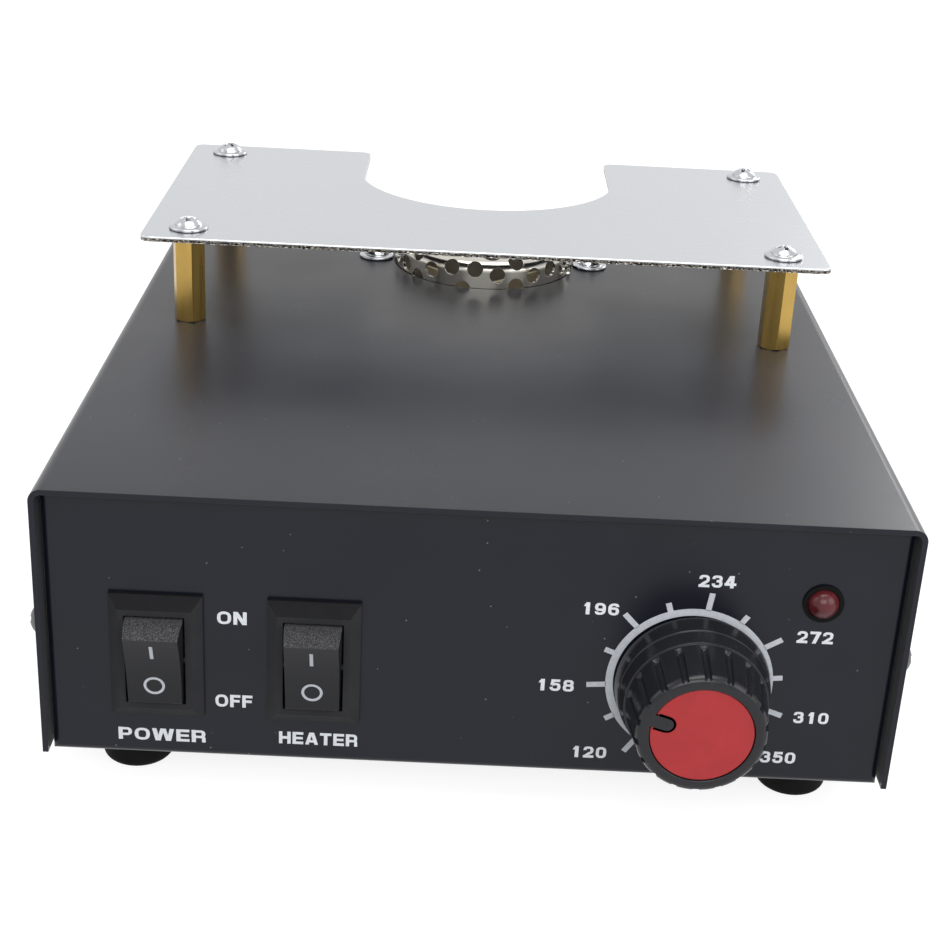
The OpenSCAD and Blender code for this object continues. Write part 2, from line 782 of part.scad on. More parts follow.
// Wound stator pressed on the bearing tube
module fan_stator() {
    air_gap = 0.8;
    end_room = 6.5;
    seat_gap = 0.5;
    tooth_w = 3.2;
    shoe_w = 6.8;
    shoe_t = 1.5;
    step = 0.8;
    stator_d = hub_d - 2 * hub_wall - 2 * air_gap;
    h = hub_h - end_room;
    color("peru") place() translate([0, outlet_y, fan_top - stator_plate_t - h - seat_gap]) difference() {
        union() {
            cylinder(d = stator_d * 0.55, h = h);
            for (a = [0 : 90 : 270]) rotate(a) {
                translate([-tooth_w / 2, 0, step]) cube([tooth_w, stator_d / 2 - step, h - 2 * step]);
                intersection() {
                    difference() {
                        cylinder(d = stator_d, h = h);
                        translate([0, 0, -eps]) cylinder(d = stator_d - 2 * shoe_t, h = h + 2 * eps);
                    }
                    translate([-shoe_w / 2, 0, 0]) cube([shoe_w, stator_d, h]);
                }
            }
        }
        translate([0, 0, -eps]) cylinder(d = bearing_d + 2 * run_gap, h = h + 2 * eps);
    }
}

// One blade: a curved strip that leans as it crosses the duct
module fan_blade() {
    chord = hub_h - 1;
    camber_r = chord * 1.1;
    blade_t = 1;
    translate([hub_d / 2 - 0.6, 0, hub_h / 2]) rotate([0, 90, 0]) rotate(38)
        linear_extrude(fan_bore / 2 - tip_gap - hub_d / 2 + 0.6) intersection() {
            translate([0, -camber_r * 0.9]) difference() {
                circle(r = camber_r);
                circle(r = camber_r - blade_t);
            }
            translate([-chord / 2, -chord / 2]) square(chord);
        }
}

module fan_impeller() {
    color("black") place() translate([0, outlet_y, hub_z]) {
        difference() {
            union() {
                cylinder(d = hub_d, h = hub_h);
                intersection() {
                    for (i = [0 : blade_count - 1]) rotate(i * 360 / blade_count) fan_blade();
                    cylinder(d = fan_bore - 2 * tip_gap, h = hub_h);
                }
            }
            translate([0, 0, hub_wall]) cylinder(d = hub_d - 2 * hub_wall, h = hub_h);
        }
        cylinder(d = fan_shaft_d, h = hub_h + hub_gap + stator_plate_t - 1.2);
    }
}

module fan_screws() {
    shank = sheet_t + fan_t + tube_flange_t + nut_h + 0.6;
    color("silver") place() at_fan_screws() translate([0, 0, base_z]) rotate([180, 0, 0])
        cross_screw(pan_head_d, shank);
}

module fan_nuts() {
    color("silver") place() at_fan_screws() translate([0, 0, fan_top + tube_flange_t]) hex_nut();
}

// Rocker switches

frame_edge_t = 0.7;
frame_rim = 1;
rocker_pivot_z = frame_t - 0.8;
rocker_r = opening_h / 2 - 0.35;
rocker_half_angle = 64;
rocker_dish = 0.7;
rocker_side_gap = 0.25;
rocker_draft = 0.6;
rocker_back = 4;
rocker_pin_d = 1.2;
rocker_pin_l = 1;
switch_cavity = 8;

// Frame with mitred slopes that rise from a thin edge to a flat rim round the opening
module switch_frame() {
    intersection() {
        translate([0, frame_h / 2, 0]) rotate([90, 0, 0]) linear_extrude(frame_h)
            frame_slope(frame_w, opening_w + 2 * frame_rim);
        translate([-frame_w / 2, 0, 0]) rotate([90, 0, 90]) linear_extrude(frame_w)
            frame_slope(frame_h, opening_h + 2 * frame_rim);
    }
}

module frame_slope(wide, rim) {
    polygon([[-wide / 2, 0], [wide / 2, 0], [wide / 2, frame_edge_t], [rim / 2, frame_t],
             [-rim / 2, frame_t], [-wide / 2, frame_edge_t]]);
}

// Snap ridge that springs out behind the panel
module switch_snap() {
    catch_z = -sheet_t - 0.1;
    ridge = 0.9;
    translate([-3, switch_body_h / 2, 0]) rotate([90, 0, 90]) linear_extrude(6)
        polygon([[-eps, catch_z], [ridge, catch_z - 0.2], [ridge, catch_z - 0.8], [-eps, catch_z - 4]]);
}

module switch_body() {
    difference() {
        union() {
            switch_frame();
            translate([-switch_body_w / 2, -switch_body_h / 2, -switch_depth])
                cube([switch_body_w, switch_body_h, switch_depth + eps]);
            for (a = [0, 180]) rotate(a) switch_snap();
        }
        translate([-opening_w / 2, -opening_h / 2, -switch_cavity])
            cube([opening_w, opening_h, switch_cavity + frame_t + eps]);
        translate([0, 0, rocker_pivot_z]) rotate([0, 90, 0])
            cylinder(d = rocker_pin_d + 2 * run_gap, h = opening_w + 2 * rocker_pin_l + 0.2, center = true);
    }
}

// Outline of a rocker across its width: straight below the pivot, drawn in towards the face
module rocker_section(width) {
    foot = -rocker_r - 1;
    polygon([[-width / 2, foot], [width / 2, foot], [width / 2, 0], [width / 2 - rocker_draft, rocker_r],
             [rocker_draft - width / 2, rocker_r], [-width / 2, 0]]);
}

// Rocker: a round-ended key with a dished face, two trunnions and a leg that works the contact
module rocker() {
    face_z = rocker_r * cos(rocker_half_angle);
    half = rocker_r * sin(rocker_half_angle);
    dish_r = (half * half + rocker_dish * rocker_dish) / (2 * rocker_dish);
    width = opening_w - 2 * rocker_side_gap;
    translate([0, 0, rocker_pivot_z]) rotate([rocker_swing / 2, 0, 0]) {
        difference() {
            intersection() {
                rotate([0, 90, 0]) cylinder(r = rocker_r, h = width, center = true);
                rotate([90, 0, 0]) linear_extrude(2 * rocker_r + 2, center = true) rocker_section(width);
            }
            translate([0, 0, face_z - rocker_dish + dish_r]) rotate([0, 90, 0])
                cylinder(r = dish_r, h = width + 1, center = true, $fn = 200);
            translate([-width, -rocker_r - 1, -rocker_r - rocker_back - 1])
                cube([2 * width, 2 * rocker_r + 2, rocker_r + 1]);
        }
        rotate([0, 90, 0]) cylinder(d = rocker_pin_d, h = opening_w + 2 * rocker_pin_l, center = true);
        translate([-1.5, -1, -rocker_back - 2]) cube([3, 2, 2 + eps]);
    }
}

module power_switch_body() {
    color("black") place() on_front(power_x, switch_z) switch_body();
}

module heater_switch_body() {
    color("black") place() on_front(heater_x, switch_z) switch_body();
}

module power_rocker() {
    color("black") place() on_front(power_x, switch_z) rocker();
}

module heater_rocker() {
    color("black") place() on_front(heater_x, switch_z) rocker();
}

// Flat blades on the back of both switches
module switch_terminals() {
    blade_w = 4.8;
    blade_l = 7.5;
    blade_t = 0.8;
    blade_y = 3.6;
    eye_d = 1.6;
    color("silver") place() for (x = [power_x, heater_x], s = [-1, 1]) on_front(x, switch_z)
        translate([-blade_w / 2, s * blade_y - blade_t / 2, -switch_depth - blade_l]) difference() {
            cube([blade_w, blade_t, blade_l]);
            translate([blade_w / 2, -eps, 1.25 * eye_d]) rotate([-90, 0, 0])
                cylinder(d = eye_d, h = blade_t + 2 * eps);
        }
}

// Control, knob and lamp

control_can_d = 16.4;
control_can_h = 8;
bush_l = sheet_t + 5;
washer_t = 0.5;
control_nut_af = 10;
control_nut_h = 2;
shaft_end = 2.2;

// Rotary control behind the panel: can, solder tags and threaded bush
module control_body() {
    color("gray") place() on_front(dial_x, dial_z) translate([0, 0, -sheet_t]) difference() {
        union() {
            translate([0, 0, -control_can_h]) cylinder(d = control_can_d, h = control_can_h);
            cylinder(d = control_bush_d, h = bush_l);
            for (x = [-5, 0, 5]) translate([x - 0.7, -control_can_d / 2 - 5, -3]) cube([1.4, 9, 0.6]);
        }
        translate([0, 0, -control_can_h + 2])
            cylinder(d = shaft_d + 2 * run_gap, h = control_can_h + bush_l);
    }
}

module control_nut() {
    bore = control_bush_d + 0.1;
    color("silver") place() on_front(dial_x, dial_z) difference() {
        union() {
            cylinder(d = control_nut_af + 1.6, h = washer_t);
            translate([0, 0, washer_t - eps]) hex_bar(control_nut_af, control_nut_h + eps);
        }
        translate([0, 0, -eps]) cylinder(d = bore, h = washer_t + control_nut_h + 2 * eps);
    }
}

module control_shaft() {
    length = knob_gap + knob_h - shaft_end + sheet_t + control_can_h - 2.2;
    color("silver") place() on_front(dial_x, dial_z)
        translate([0, 0, -sheet_t - control_can_h + 2.2]) cylinder(d = shaft_d, h = length);
}

knob_pocket_d = control_nut_af / cos(30) + 2;
knob_pocket_h = bush_l - sheet_t - knob_gap + 0.6;
step_h = 2.6;
face_round = 1.4;
groove_d = 1.3;
groove_turn = 7.2;
groove_low = 1.3;
groove_high = 0.3;
cap_recess = 1;
cap_gap = 0.1;
pointer_w = 1.7;
pointer_in = 5.1;

// Bar of the pointer, from near the middle of the face out to the rim
module pointer_bar(w, t) {
    rotate(pointer_angle) {
        translate([pointer_in, -w / 2, 0]) cube([grip_face_d / 2 - face_round - pointer_in, w, t]);
        translate([pointer_in, 0, 0]) cylinder(d = w, h = t);
    }
}

// Grooved grip on a stepped skirt, with the recess and pointer of its face
module knob() {
    grip_z = skirt_h + step_h;
    round_z = knob_h - face_round;
    lean = atan((grip_d - grip_face_d) / 2 / (round_z - grip_z));
    groove_l = (round_z - grip_z - groove_low - groove_high) / cos(lean);
    color("black") place() on_front(dial_x, dial_z) translate([0, 0, knob_gap]) {
        difference() {
            union() {
                cylinder(d1 = knob_d, d2 = knob_d - 0.8, h = skirt_h);
                translate([0, 0, skirt_h]) cylinder(d1 = knob_d - 1, d2 = grip_d + 0.5, h = step_h);
                translate([0, 0, grip_z]) cylinder(d1 = grip_d, d2 = grip_face_d, h = round_z - grip_z);
                round_top_plug(grip_face_d / 2, round_z, knob_h, face_round);
            }
            for (i = [0 : groove_count - 1]) rotate(groove_turn + i * 360 / groove_count)
                translate([grip_d / 2 + 0.1, 0, grip_z]) rotate([0, -lean, 0])
                translate([0, 0, groove_low]) {
                    cylinder(d = groove_d, h = groove_l);
                    for (z = [0, groove_l]) translate([0, 0, z]) sphere(d = groove_d);
                }
            translate([0, 0, -eps]) cylinder(d = knob_pocket_d, h = knob_pocket_h);
            translate([0, 0, -eps]) cylinder(d = shaft_d + 2 * run_gap, h = knob_h - shaft_end + 0.2);
            translate([0, 0, knob_h - cap_recess]) cylinder(d = cap_d, h = cap_recess + eps);
        }
        translate([0, 0, knob_h - cap_recess - eps]) pointer_bar(pointer_w, cap_recess);
    }
}

// Coloured disc set in the face, notched round the pointer
module knob_cap() {
    t = cap_recess - 0.1;
    color("firebrick") place() on_front(dial_x, dial_z) translate([0, 0, knob_gap + knob_h - cap_recess])
        difference() {
            cylinder(d = cap_d - 2 * cap_gap, h = t);
            translate([0, 0, -eps]) pointer_bar(pointer_w + 0.4, t + 2 * eps);
        }
}

lamp_sleeve_l = 5;

module lamp_holder() {
    color("black") place() on_front(led_x, led_z) difference() {
        union() {
            cylinder(d = lamp_sleeve_d + 0.6, h = 0.4);
            translate([0, 0, -lamp_sleeve_l]) cylinder(d = lamp_sleeve_d, h = lamp_sleeve_l + eps);
        }
        translate([0, 0, -lamp_sleeve_l - eps]) cylinder(d = led_d + 2 * run_gap, h = lamp_sleeve_l + 1);
    }
}

// Lamp: a domed lens on a collar, with its two legs
module lamp() {
    lens_out = 2.3;
    color("darkred") place() on_front(led_x, led_z) {
        translate([0, 0, -lamp_sleeve_l]) cylinder(d = led_d, h = lamp_sleeve_l);
        translate([0, 0, -eps]) dome(led_d, lens_out, 0.3);
        translate([0, 0, -lamp_sleeve_l - 1]) cylinder(d = led_d + 0.9, h = 1);
        for (x = [-1.27, 1.27]) translate([x - 0.25, -0.25, -lamp_sleeve_l - 9]) cube([0.5, 0.5, 8 + eps]);
    }
}

// Electronics

sink_offset = 4;
sink_x = board_x + sink_offset;
sink_inset = 14;
sink_y = board_rear - sink_inset;
sink_w = 20;
sink_h = 22;
sink_base_t = 2;
fin_l = 8;
fin_count = 6;
fin_t = 1.2;
triac_w = 10;
triac_t = 4.4;
triac_h = 9;
tab_t = 1.3;
tab_h = 6;
leg_l = 4;
leg_pitch = 2.54;
leg_w = 0.8;
capacitor_ds = [12, 9];
capacitor_hs = [18, 13];
capacitor_inset = 7;
capacitor_front = 22;
capacitor_pitch = 13;
block_ways = 4;
block_pitch = 7;
block_d = 9;
block_h = 11;
block_offset = 4;
block_inset = 8;
fuse_d = 5;
fuse_l = 20;
fuse_inset = 12;
fuse_lift = 5;
fuse_shift = 6;
fuse_x = board_x - board_w / 2 + fuse_inset;
fuse_z = board_top + fuse_lift;
clip_l = 4;
clip_t = 0.7;
clip_end_gap = 0.6;

module control_board() {
    color("darkgreen") place() difference() {
        translate([board_x - board_w / 2, board_front, board_top - board_t])
            cube([board_w, board_d, board_t]);
        at_board_holes() translate([0, 0, board_top - board_t - eps])
            cylinder(d = screw_hole_d, h = board_t + 2 * eps);
    }
}

module board_pillars() {
    color("goldenrod") place() at_board_holes() translate([0, 0, floor_z]) difference() {
        hex_bar(nut_af, board_lift);
        translate([0, 0, -eps]) cylinder(d = screw_d + thread_play, h = board_lift + 2 * eps);
    }
}

// Screws into both ends of the board's pillars
module board_screws() {
    grip = board_lift / 2 - 0.4;
    color("silver") place() at_board_holes() {
        translate([0, 0, board_top]) cross_screw(pan_head_d, board_t + grip);
        translate([0, 0, base_z]) rotate([180, 0, 0]) cross_screw(pan_head_d, sheet_t + grip);
    }
}

// Extruded heat sink with upright fins
module heat_sink() {
    pitch = (sink_w - fin_t) / (fin_count - 1);
    color("lightslategray") place() translate([sink_x - sink_w / 2, sink_y, board_top]) {
        cube([sink_w, sink_base_t, sink_h]);
        for (i = [0 : fin_count - 1]) translate([i * pitch, sink_base_t - eps, 0])
            cube([fin_t, fin_l, sink_h]);
    }
}

// Power switch on the heat sink's flat side, with its three legs
module triac() {
    color("black") place() translate([sink_x, sink_y - triac_t, board_top + leg_l]) {
        translate([-triac_w / 2, 0, 0]) cube([triac_w, triac_t, triac_h]);
        translate([-triac_w / 2, triac_t - tab_t, triac_h - eps]) difference() {
            cube([triac_w, tab_t, tab_h]);
            translate([triac_w / 2, -eps, tab_h / 2]) rotate([-90, 0, 0])
                cylinder(d = screw_hole_d, h = tab_t + 2 * eps);
        }
        for (i = [-1 : 1]) translate([i * leg_pitch - leg_w / 2, triac_t / 2 - leg_w / 2, -leg_l])
            cube([leg_w, leg_w, leg_l + eps]);
    }
}

module capacitors() {
    color("midnightblue") place() for (i = [0, 1])
        translate([board_x + board_w / 2 - capacitor_inset,
                   board_front + capacitor_front + i * capacitor_pitch, board_top])
            cylinder(d = capacitor_ds[i], h = capacitor_hs[i]);
}

// Screw terminals along the board's front edge
module terminal_block() {
    wide = block_ways * block_pitch;
    entry = block_pitch * 0.57;
    color("seagreen") place()
        translate([board_x + block_offset - wide / 2, board_front + block_inset, board_top]) difference() {
            cube([wide, block_d, block_h]);
            for (i = [0 : block_ways - 1]) translate([(i + 0.5) * block_pitch, 0, 0]) {
                translate([0, block_d * 0.55, block_h - leg_l]) cylinder(d = entry, h = block_h);
                translate([-entry / 2, -eps, block_h / 5]) cube([entry, entry, entry]);
            }
        }
}

module fuse() {
    color("lightblue") place() translate([fuse_x, board_y + fuse_l / 2 + fuse_shift, fuse_z])
        rotate([90, 0, 0]) cylinder(d = fuse_d, h = fuse_l);
}

// Spring clips that hold the fuse by its ends
module fuse_clips() {
    reach = fuse_l / 2 - clip_l / 2 - clip_end_gap;
    rise = fuse_z - board_top;
    color("silver") place() for (s = [-1, 1])
        translate([fuse_x, board_y + fuse_shift + s * reach - clip_l / 2, board_top]) difference() {
            translate([-fuse_d / 2 - clip_t, 0, 0])
                cube([fuse_d + 2 * clip_t, clip_l, rise + fuse_d * 0.3]);
            translate([0, -eps, rise]) rotate([-90, 0, 0])
                cylinder(d = fuse_d + 2 * run_gap, h = clip_l + 2 * eps);
            translate([-fuse_d / 2 + clip_t, -eps, clip_t])
                cube([fuse_d - 2 * clip_t, clip_l + 2 * eps, fuse_z]);
        }
}

limb = core_w / 6;

// Laminated core: an outer ring with a middle limb
module transformer_core() {
    color("dimgray") place() translate([core_x - core_w / 2, core_y - core_stack / 2, floor_z])
    difference() {
        cube([core_w, core_stack, core_h]);
        for (x = [limb, core_w / 2 + limb]) translate([x, -eps, limb])
            cube([core_w / 2 - 2 * limb, core_stack + 2 * eps, core_h - 2 * limb]);
    }
}

// Bobbin and winding round the middle limb
module transformer_winding() {
    gap = 0.3;
    wide = core_w - 2 * limb - 2 * gap;
    out = core_w / 2 - 2 * limb - gap;
    high = core_h - 2 * limb - 2 * gap;
    color("orange") place() translate([core_x, core_y, floor_z + limb + gap])
    linear_extrude(high) difference() {
        round_rect(-wide / 2, -core_stack / 2 - out, wide / 2, core_stack / 2 + out, 3);
        square([2 * limb + 2 * gap, core_stack + 2 * gap], center = true);
    }
}

// Strap folded over the core, with a foot on each side
module transformer_strap() {
    wide = 12;
    half = strap_half;
    top = core_h + strap_fit;
    color("silver") place() translate([core_x, core_y - wide / 2, floor_z]) difference() {
        union() {
            for (s = [-1, 1]) {
                translate([s > 0 ? half : -half - strap_t, 0, 0]) cube([strap_t, wide, top + strap_t]);
                translate([s > 0 ? half : -half - strap_t - strap_foot, 0, 0])
                    cube([strap_t + strap_foot, wide, strap_t]);
            }
            translate([-half - strap_t, 0, top]) cube([2 * half + 2 * strap_t, wide, strap_t]);
        }
        translate([-core_x, wide / 2 - core_y, -eps]) at_strap_feet()
            cylinder(d = screw_hole_d, h = strap_t + 2 * eps);
    }
}

// Screws up through the floor with nuts on the strap's feet
module transformer_screws() {
    color("silver") place() at_strap_feet() translate([0, 0, floor_z + strap_t]) {
        hex_nut();
        translate([0, 0, -strap_t - sheet_t]) rotate([180, 0, 0])
            cross_screw(pan_head_d, strap_t + sheet_t + nut_h + 0.6);
    }
}

// Mains inlet

socket_w = 24.4;
socket_h = 16.4;
socket_depth = 16;
socket_chamfer = 4.5;
pin_w = 2;
pin_h = 4;
pin_span = 14;
pin_offset = 2;

module socket_outline() {
    x = socket_w / 2;
    y = socket_h / 2;
    polygon([[-x, -y], [x, -y], [x, y - socket_chamfer], [x - socket_chamfer, y],
             [socket_chamfer - x, y], [-x, y - socket_chamfer]]);
}

// Three-pin appliance inlet with a flange on the outside of the rear panel
module mains_inlet() {
    color("black") place() on_rear(inlet_x, inlet_z) difference() {
        union() {
            linear_extrude(inlet_flange_t)
                round_rect(-inlet_w / 2, -inlet_h / 2, inlet_w / 2, inlet_h / 2, 4);
            translate([-inlet_body_w / 2, -inlet_body_h / 2, -inlet_depth])
                cube([inlet_body_w, inlet_body_h, inlet_depth + eps]);
        }
        translate([0, 0, inlet_flange_t - socket_depth])
            linear_extrude(socket_depth + eps) socket_outline();
        for (s = [-1, 1]) translate([s * inlet_screw_span / 2, 0, -eps])
            cylinder(d = screw_hole_d, h = inlet_flange_t + 2 * eps);
        at_pins() translate([-pin_w / 2 - run_gap, -pin_h / 2 - run_gap, -inlet_depth - eps])
            cube([pin_w + 2 * run_gap, pin_h + 2 * run_gap, inlet_depth]);
    }
}

module at_pins() {
    for (p = [[0, pin_offset], [-pin_span / 2, -pin_offset], [pin_span / 2, -pin_offset]])
        translate([p[0], p[1], 0]) children();
}

// Contact pins that run through the inlet and end in solder tags
module inlet_pins() {
    tag_l = 7;
    tip_z = inlet_flange_t - 2;
    color("silver") place() on_rear(inlet_x, inlet_z) at_pins()
        translate([-pin_w / 2, -pin_h / 2, -inlet_depth - tag_l])
            cube([pin_w, pin_h, tip_z + inlet_depth + tag_l]);
}

module inlet_screws() {
    color("silver") place() at_inlet_screws() translate([0, 0, inlet_flange_t])
        cross_screw(pan_head_d, inlet_flange_t + sheet_t + nut_h + 0.6);
}

module inlet_nuts() {
    color("silver") place() at_inlet_screws() translate([0, 0, -sheet_t - nut_h]) hex_nut();
}

chassis();
cover();
cover_screws();
rubber_feet();
foot_screws();
foot_nuts();
support_plate();
plate_screws();
pillars();
pillar_screws();
outlet_cup();
outlet_screws();
outlet_nuts();
heater_tube();
heater_former();
heater_coil();
temperature_sensor();
fan_frame();
fan_stator();
fan_impeller();
fan_screws();
fan_nuts();
power_switch_body();
power_rocker();
heater_switch_body();
heater_rocker();
switch_terminals();
control_body();
control_shaft();
control_nut();
knob();
knob_cap();
lamp_holder();
lamp();
control_board();
board_pillars();
board_screws();
heat_sink();
triac();
capacitors();
terminal_block();
fuse();
fuse_clips();
transformer_core();
transformer_winding();
transformer_strap();
transformer_screws();
mains_inlet();
inlet_pins();
inlet_screws();
inlet_nuts();
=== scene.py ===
# %% [markdown]
# # Dressing a hot-air preheater
# The CAD model already has the real sizes and moving joints. This lesson keeps it as a fixed frame and adds
# what a camera sees: paint, print, plated screws, a fluted knob. Every object is in metres, in the CAD's frame.

# %% Load the frame
import json
import math

import bpy
import numpy as np
from mathutils import Matrix, Vector
from mathutils.geometry import delaunay_2d_cdt


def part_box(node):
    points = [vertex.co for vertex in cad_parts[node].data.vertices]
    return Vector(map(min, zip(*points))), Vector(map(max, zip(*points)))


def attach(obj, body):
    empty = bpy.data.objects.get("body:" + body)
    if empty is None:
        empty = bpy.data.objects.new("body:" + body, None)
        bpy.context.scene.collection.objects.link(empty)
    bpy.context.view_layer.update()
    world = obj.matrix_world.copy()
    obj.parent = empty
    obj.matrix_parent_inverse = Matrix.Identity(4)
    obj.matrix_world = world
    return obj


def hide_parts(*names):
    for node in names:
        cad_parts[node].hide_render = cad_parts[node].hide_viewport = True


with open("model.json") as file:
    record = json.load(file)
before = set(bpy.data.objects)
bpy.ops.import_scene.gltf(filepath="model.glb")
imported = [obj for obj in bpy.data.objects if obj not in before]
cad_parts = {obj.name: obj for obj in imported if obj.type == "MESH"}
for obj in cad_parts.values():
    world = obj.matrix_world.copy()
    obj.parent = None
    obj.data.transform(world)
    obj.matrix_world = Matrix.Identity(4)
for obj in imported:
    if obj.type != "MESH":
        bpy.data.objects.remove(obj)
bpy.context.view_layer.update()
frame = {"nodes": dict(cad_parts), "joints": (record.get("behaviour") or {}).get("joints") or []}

MM = 0.001

# %% [markdown]
# Everything that is added later takes its place from a few measured things: the panel's face, the cover's top,
# the plate and the turning axes. Reading them from the frame keeps the looks tied to the CAD, so a resized
# part would carry its print and screws along.

# %% Measure the frame
def box_mm(node):
    """Lowest and highest corner of a CAD node, in millimetres."""
    return [np.array(corner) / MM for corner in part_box(node)]


def middle_mm(node):
    """Centre of a CAD node's box, in millimetres."""
    low, high = box_mm(node)
    return (low + high) / 2


axis_at = {joint["name"]: np.array(joint["pos_m"]) / MM for joint in frame["joints"]}
panel_y = box_mm("chassis")[0][1]
cover_top = box_mm("cover")[1][2]
plate_low, plate_high = box_mm("support_plate")
print("panel face y", round(panel_y, 2), "cover top z", round(cover_top, 2))

# %% [markdown]
# The camera stands where the photograph was taken: its place and its three axes come from matching the case's
# own edges. A rotation written as its three axes needs no angles, and a small lens shift keeps the framing.

# %% Camera
CAMERA_PLACE = (-4.442, -314.563, 169.290)
CAMERA_RIGHT = (0.99879, 0.00594, 0.04879)
CAMERA_DOWN = (0.04691, -0.41160, -0.91016)
FOCAL_PIXELS = 1756.34
CENTRE_PIXEL = (478.35, 477.00)
IMAGE_PIXELS = 950
SENSOR_MM = 36.0

right, down = Vector(CAMERA_RIGHT).normalized(), Vector(CAMERA_DOWN)
down = (down - right * right.dot(down)).normalized()
turn = Matrix((right, -down, -right.cross(down))).transposed()
camera_data = bpy.data.cameras.new("camera")
camera_data.sensor_width = SENSOR_MM
camera_data.lens = FOCAL_PIXELS * SENSOR_MM / IMAGE_PIXELS
camera_data.shift_x = (IMAGE_PIXELS / 2 - CENTRE_PIXEL[0]) / IMAGE_PIXELS
camera_data.shift_y = (CENTRE_PIXEL[1] - IMAGE_PIXELS / 2) / IMAGE_PIXELS
camera_data.clip_start = 0.01
camera = bpy.data.objects.new("camera", camera_data)
camera.matrix_world = Matrix.Translation(Vector(CAMERA_PLACE) * MM) @ turn.to_4x4()
bpy.context.scene.collection.objects.link(camera)
bpy.context.scene.camera = camera
bpy.context.scene.view_settings.view_transform = "Standard"
print("lens", round(camera_data.lens, 2), "mm")

# %% [markdown]
# A finish is a Principled shader with a few layers on it: a softened edge, colour that drifts, gloss that
# drifts, and grain in the surface. A small class keeps each layer to one call, so that a finish reads like a
# recipe. All patterns use Object coordinates, which are metres here, so a scale is one over a size.

# %% Layers of a finish
# Dark grey that the painted shade in corners and recesses runs to.
CREASE_SHADE = (0.03, 0.03, 0.032)


class Finish:
    """A material under construction: constants sit on the shader's sockets, layers link nodes into them."""

    def __init__(self, name, **constants):
        self.material = bpy.data.materials.new(name)
        self.material.use_nodes = True
        self.tree = self.material.node_tree
        self.shader = self.tree.nodes["Principled BSDF"]
        for socket, value in constants.items():
            self.shader.inputs[socket.replace("_", " ")].default_value = value
        self.place = self.node("TexCoord").outputs["Object"]

    def node(self, kind, settings=None, **inputs):
        """Adds one node; an input is a constant, or another node's output to link from."""
        made = self.tree.nodes.new("ShaderNode" + kind)
        for name, value in (settings or {}).items():
            setattr(made, name, value)
        for socket, value in inputs.items():
            self.feed(made.inputs[socket.replace("_", " ")], value)
        return made

    def feed(self, socket, value):
        """Sets a constant on a socket, or links another node's output into it."""
        if isinstance(value, bpy.types.NodeSocket):
            self.tree.links.new(value, socket)
        else:
            socket.default_value = value

    def stretched(self, scale):
        """Object coordinates stretched by a factor on each axis."""
        return self.node("Mapping", Vector=self.place, Scale=scale).outputs["Vector"]

    def noise(self, size_mm, detail=3.0, place=None):
        """Cloudy noise from 0 to 1 whose blobs are about size_mm across."""
        made = self.node("TexNoise", Vector=place or self.place, Scale=1 / (size_mm * MM), Detail=detail)
        return made.outputs["Fac"]

    def span(self, value, low, high, start=0.3, end=0.7):
        """Maps start..end of a value to low..high, and holds the ends."""
        made = self.node("MapRange", Value=value, From_Min=start, From_Max=end, To_Min=low, To_Max=high)
        return made.outputs["Result"]

    def calculate(self, operation, *values):
        """One step of arithmetic on constants or outputs."""
        made = self.node("Math", {"operation": operation})
        for socket, value in zip(made.inputs, values):
            self.feed(socket, value)
        return made.outputs["Value"]

    def facing_up(self):
        """How far the surface looks upwards: 1 on top, 0 where it is upright, -1 below."""
        return self.node("SeparateXYZ", Vector=self.node("NewGeometry").outputs["Normal"]).outputs["Z"]

    def blend(self, factor, low, high):
        """Colour between two colours or outputs."""
        made = self.node("Mix", {"data_type": "RGBA"})
        self.feed(made.inputs["Factor"], factor)
        self.feed(made.inputs[6], low if isinstance(low, bpy.types.NodeSocket) else (*low, 1))
        self.feed(made.inputs[7], high if isinstance(high, bpy.types.NodeSocket) else (*high, 1))
        return made.outputs[2]

    def colour(self, value):
        """Base colour from an output."""
        self.feed(self.shader.inputs["Base Color"], value)
        return self

    def rough(self, value):
        """Roughness from an output."""
        self.feed(self.shader.inputs["Roughness"], value)
        return self

    def drift(self, low, high, size_mm):
        """Colour that wanders between two tones."""
        return self.colour(self.blend(self.span(self.noise(size_mm), 0.0, 1.0), low, high))

    def gloss(self, low, high, size_mm):
        """Roughness that wanders between two values."""
        return self.rough(self.span(self.noise(size_mm), low, high))

    def normal(self):
        """The output that bends the surface so far, if any."""
        links = self.shader.inputs["Normal"].links
        return links[0].from_socket if links else None

    def soften(self, radius_mm):
        """Rounds the shading of sharp edges, as paint and moulding do."""
        made = self.node("Bevel", {"samples": 4}, Radius=radius_mm * MM)
        self.feed(self.shader.inputs["Normal"], made.outputs["Normal"])
        return self

    def paint_crease_shade(self, reach_mm):
        """Paints shade into the colour in corners and recesses: where ambient occlusion finds nearby surfaces, the
        colour runs to a dark grey.
        """
        base = self.shader.inputs["Base Color"].links[0].from_socket
        open_air = self.node("AmbientOcclusion", {"samples": 8}, Distance=reach_mm * MM).outputs["AO"]
        return self.colour(self.blend(self.span(open_air, 0.0, 1.0, 0.35, 0.85), CREASE_SHADE, base))

    def paint_slope_shade(self, tone):
        """Paints shade on slopes that look upwards: their colour darkens towards tone, in place of the dark ceiling
        they would reflect.
        """
        base = self.shader.inputs["Base Color"].links[0].from_socket
        return self.colour(self.blend(self.span(self.facing_up(), 0.0, 1.0, 0.15, 0.4), base, tone))

    def grain(self, height, depth_mm):
        """Raises the surface by depth_mm where height is 1."""
        made = self.node("Bump", Height=height, Distance=depth_mm * MM)
        if self.normal():
            self.feed(made.inputs["Normal"], self.normal())
        self.feed(self.shader.inputs["Normal"], made.outputs["Normal"])
        return self


def dress(finish, *nodes):
    """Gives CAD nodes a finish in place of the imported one."""
    for name in nodes:
        frame["nodes"][name].material_slots[0].material = finish.material


# %% [markdown]
# The case is folded sheet steel with satin black paint. Satin paint has a faint orange peel, a gloss that
# varies where it was handled, and dust that settled on it. A cell pattern in space gives the dust: where a
# cell's centre happens to lie close to the surface, the surface shows a speck.

